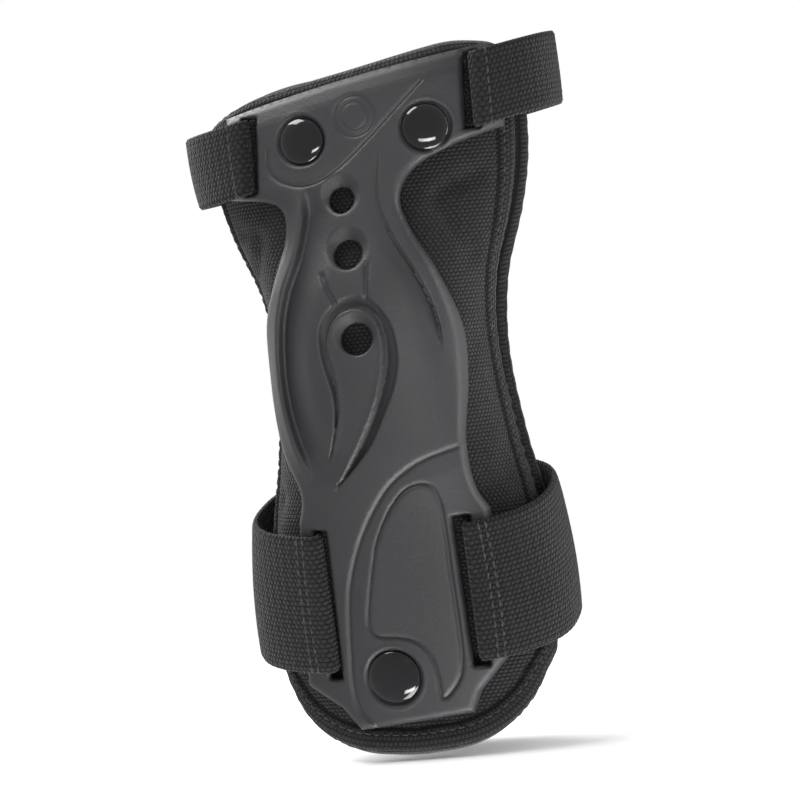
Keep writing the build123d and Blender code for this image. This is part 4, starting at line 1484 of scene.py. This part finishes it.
class WRISTGUARD_OT_panels(bpy.types.Operator):
    """Makes the two padded panels and the gussets between them"""
    bl_idname = "wrist_guard.panels"
    bl_label = "Make padded panels"

    def execute(self, context):
        sizes = context.scene.wrist_guard_sizes
        for key, side in (("palm", PALM), ("back", BACK)):
            pad = make_panel_pad(f"{key}_panel_pad", side, sizes)
            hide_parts(f"{key}_shell_fabric", f"{key}_foam_pad", f"{key}_lining")
            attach(pad, "sleeve")
        for key, thumb, low, high in GUSSETS:
            strip = make_gusset(f"{key}_side_knit", thumb, low, high)
            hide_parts(f"{key}_side_gusset")
            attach(strip, "sleeve")
        return {"FINISHED"}


class WRISTGUARD_OT_bindings(bpy.types.Operator):
    """Binds the panels' edges and sews the binding down"""
    bl_idname = "wrist_guard.bindings"
    bl_label = "Make edge bindings"

    def execute(self, context):
        sizes = context.scene.wrist_guard_sizes
        for key, side in (("palm", PALM), ("back", BACK)):
            tape = make_binding(f"{key}_binding_tape", side, sizes)
            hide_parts(f"{key}_edge_binding")
            sewn = binding_stitches(f"{key}_binding_stitches", side, sizes)
            for piece in (tape, sewn):
                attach(piece, "sleeve")
        return {"FINISHED"}


class WRISTGUARD_OT_straps(bpy.types.Operator):
    """Makes the two webbing straps with their tapes and stitching"""
    bl_idname = "wrist_guard.straps"
    bl_label = "Make straps"

    def execute(self, context):
        for key in STRAPS:
            make_strap(key)
            make_tapes(key)
            strap_stitches(key, context.scene.wrist_guard_sizes)
        return {"FINISHED"}


def surroundings(tree, direction):
    """The brightness of the surroundings: white behind the guard, a softer grey before it."""
    unit = tree.nodes.new("ShaderNodeVectorMath")
    unit.operation = "NORMALIZE"
    split = tree.nodes.new("ShaderNodeSeparateXYZ")
    fade = tree.nodes.new("ShaderNodeMapRange")
    fade.interpolation_type = "SMOOTHSTEP"
    fade.inputs["From Min"].default_value = -0.3
    fade.inputs["From Max"].default_value = 1.0
    fade.inputs["To Min"].default_value = 1.0
    fade.inputs["To Max"].default_value = 0.5
    tree.links.new(direction, unit.inputs[0])
    tree.links.new(unit.outputs["Vector"], split.inputs[0])
    tree.links.new(split.outputs["Y"], fade.inputs["Value"])
    return fade.outputs["Result"]


def floor_material(colour):
    """A pale floor that turns into the white surroundings further out."""
    material, shader = new_material("pale_floor", colour, 0.6, 0.2)
    tree = material.node_tree
    place = tree.nodes.new("ShaderNodeTexCoord")
    reach = tree.nodes.new("ShaderNodeVectorMath")
    reach.operation = "LENGTH"
    tree.links.new(place.outputs["Object"], reach.inputs[0])
    fade = tree.nodes.new("ShaderNodeMapRange")
    fade.interpolation_type = "SMOOTHSTEP"
    fade.inputs["From Min"].default_value = 0.1
    fade.inputs["From Max"].default_value = 0.42
    tree.links.new(reach.outputs["Value"], fade.inputs["Value"])
    white = tree.nodes.new("ShaderNodeEmission")
    white.inputs["Color"].default_value = (1, 1, 1, 1)
    tree.links.new(surroundings(tree, place.outputs["Object"]), white.inputs["Strength"])
    mix = tree.nodes.new("ShaderNodeMixShader")
    tree.links.new(fade.outputs["Result"], mix.inputs["Fac"])
    tree.links.new(shader.outputs["BSDF"], mix.inputs[1])
    tree.links.new(white.outputs["Emission"], mix.inputs[2])
    tree.links.new(mix.outputs["Shader"], tree.nodes["Material Output"].inputs["Surface"])
    return material


def add_panel_light(name, place, target, width, height, watts, spread=180):
    """A large soft light that faces a point, with its light spread over an angle in degrees."""
    lamp = bpy.data.lights.new(name, "AREA")
    lamp.spread = math.radians(spread)
    lamp.shape, lamp.size, lamp.size_y, lamp.energy = "RECTANGLE", width, height, watts
    obj = bpy.data.objects.new(name, lamp)
    obj.location = place
    obj.rotation_euler = (Vector(target) - Vector(place)).to_track_quat("-Z", "Y").to_euler()
    obj.visible_camera = False
    bpy.context.scene.collection.objects.link(obj)


class WRISTGUARD_OT_stage(bpy.types.Operator):
    """Makes the floor, the surroundings, the lights and the camera"""
    bl_idname = "wrist_guard.stage"
    bl_label = "Make stage"

    def execute(self, context):
        settings = context.scene.wrist_guard_stage
        scene = context.scene
        scene.view_settings.view_transform = "Standard"
        low, high = (Vector(corner) for corner in CAD_BOX)
        middle = (low + high) / 2
        shape = bmesh.new()
        ring = [shape.verts.new((3 * math.cos(a), 3 * math.sin(a), low.z - 0.001))
                for a in np.linspace(0, 2 * math.pi, 64, endpoint=False)]
        shape.faces.new(ring)
        mesh = bpy.data.meshes.new("floor")
        shape.to_mesh(mesh)
        shape.free()
        floor = bpy.data.objects.new("floor", mesh)
        mesh.materials.append(floor_material(settings.floor_colour))
        scene.collection.objects.link(floor)
        floor.visible_glossy = floor.visible_shadow = False

        world = bpy.data.worlds.new("studio")
        world.use_nodes = True
        tree = world.node_tree
        direction = tree.nodes.new("ShaderNodeTexCoord").outputs["Generated"]
        tree.links.new(surroundings(tree, direction), tree.nodes["Background"].inputs["Strength"])
        tree.nodes["Background"].inputs["Color"].default_value = (1, 1, 1, 1)
        scene.world = world

        away = Vector((math.sin(settings.azimuth) * math.cos(settings.elevation),
                       -math.cos(settings.azimuth) * math.cos(settings.elevation),
                       math.sin(settings.elevation)))
        right = Vector((0, 0, 1)).cross(away).normalized()
        upward = away.cross(right)
        for name, place, width, height, watts in (
            ("foot light", 0.32 * away - 0.85 * upward + 0.25 * right, 0.8, 0.5, 17.0),
            ("top left light", 0.1 * away + 0.85 * upward - 0.5 * right, 0.7, 0.4, 13.0),
            ("right light", 0.12 * away + 0.1 * upward + 0.9 * right, 0.2, 0.8, 6.0),
            ("back light", -0.6 * away + 0.6 * upward - 0.5 * right, 0.6, 0.5, 15.0),
            ("low back light", -0.6 * away - 0.7 * upward, 0.7, 0.3, 8.0),
        ):
            add_panel_light(name, middle + place, middle, width, height, watts)
        for name, z, down, width in (("head glint", 0.073, 17, 0.15), ("foot glint", -0.075, 46, 0.13)):
            rivet = Vector((-0.003, 0.036, z))
            angle = math.radians(down)
            place = rivet + 0.25 * (math.cos(angle) * away - math.sin(angle) * upward)
            add_panel_light(name, place, rivet, width, 0.034, 0.05, spread=64)

        lens = bpy.data.cameras.new("view")
        lens.sensor_width = 36
        lens.lens = 36 * settings.camera_distance / settings.view_width
        lens.clip_start, lens.clip_end = 0.05, 20
        camera = bpy.data.objects.new("view", lens)
        up = upward * math.cos(settings.lean) + right * math.sin(settings.lean)
        side = up.cross(away)
        camera.matrix_world = Matrix((
            (side.x, up.x, away.x, middle.x + away.x * settings.camera_distance),
            (side.y, up.y, away.y, middle.y + away.y * settings.camera_distance),
            (side.z, up.z, away.z, middle.z + away.z * settings.camera_distance),
            (0, 0, 0, 1)))
        scene.collection.objects.link(camera)
        bpy.context.scene.camera = camera
        return {"FINISHED"}


STEPS = [WRISTGUARD_OT_finishes, WRISTGUARD_OT_stage, WRISTGUARD_OT_splints, WRISTGUARD_OT_rivets,
         WRISTGUARD_OT_panels, WRISTGUARD_OT_bindings, WRISTGUARD_OT_straps]


class WRISTGUARD_PT_sidebar(bpy.types.Panel):
    """Lists the guard's settings and steps"""
    bl_idname = "WRISTGUARD_PT_sidebar"
    bl_label = "Wrist Guard"
    bl_space_type = "VIEW_3D"
    bl_region_type = "UI"
    bl_category = "Wrist Guard"

    def draw(self, context):
        for group in ("wrist_guard_colours", "wrist_guard_sizes", "wrist_guard_stage"):
            settings = getattr(context.scene, group)
            box = self.layout.box()
            for name in settings.bl_rna.properties.keys():
                if name not in ("rna_type", "name"):
                    box.prop(settings, name)
        for step in STEPS:
            self.layout.operator(step.bl_idname)


CLASSES = [WristGuardColours, WristGuardSizes, WristGuardStage, *STEPS, WRISTGUARD_PT_sidebar]


def register():
    for item in CLASSES:
        bpy.utils.register_class(item)
    bpy.types.Scene.wrist_guard_colours = bpy.props.PointerProperty(type=WristGuardColours)
    bpy.types.Scene.wrist_guard_sizes = bpy.props.PointerProperty(type=WristGuardSizes)
    bpy.types.Scene.wrist_guard_stage = bpy.props.PointerProperty(type=WristGuardStage)


def unregister():
    for name in ("wrist_guard_stage", "wrist_guard_sizes", "wrist_guard_colours"):
        delattr(bpy.types.Scene, name)
    for item in reversed(CLASSES):
        bpy.utils.unregister_class(item)


def main():
    register()
    bpy.ops.wrist_guard.finishes()
    bpy.ops.wrist_guard.stage()
    bpy.ops.wrist_guard.splints()
    bpy.ops.wrist_guard.rivets()
    bpy.ops.wrist_guard.panels()
    bpy.ops.wrist_guard.bindings()
    bpy.ops.wrist_guard.straps()


if __name__ == "__main__":
    main()
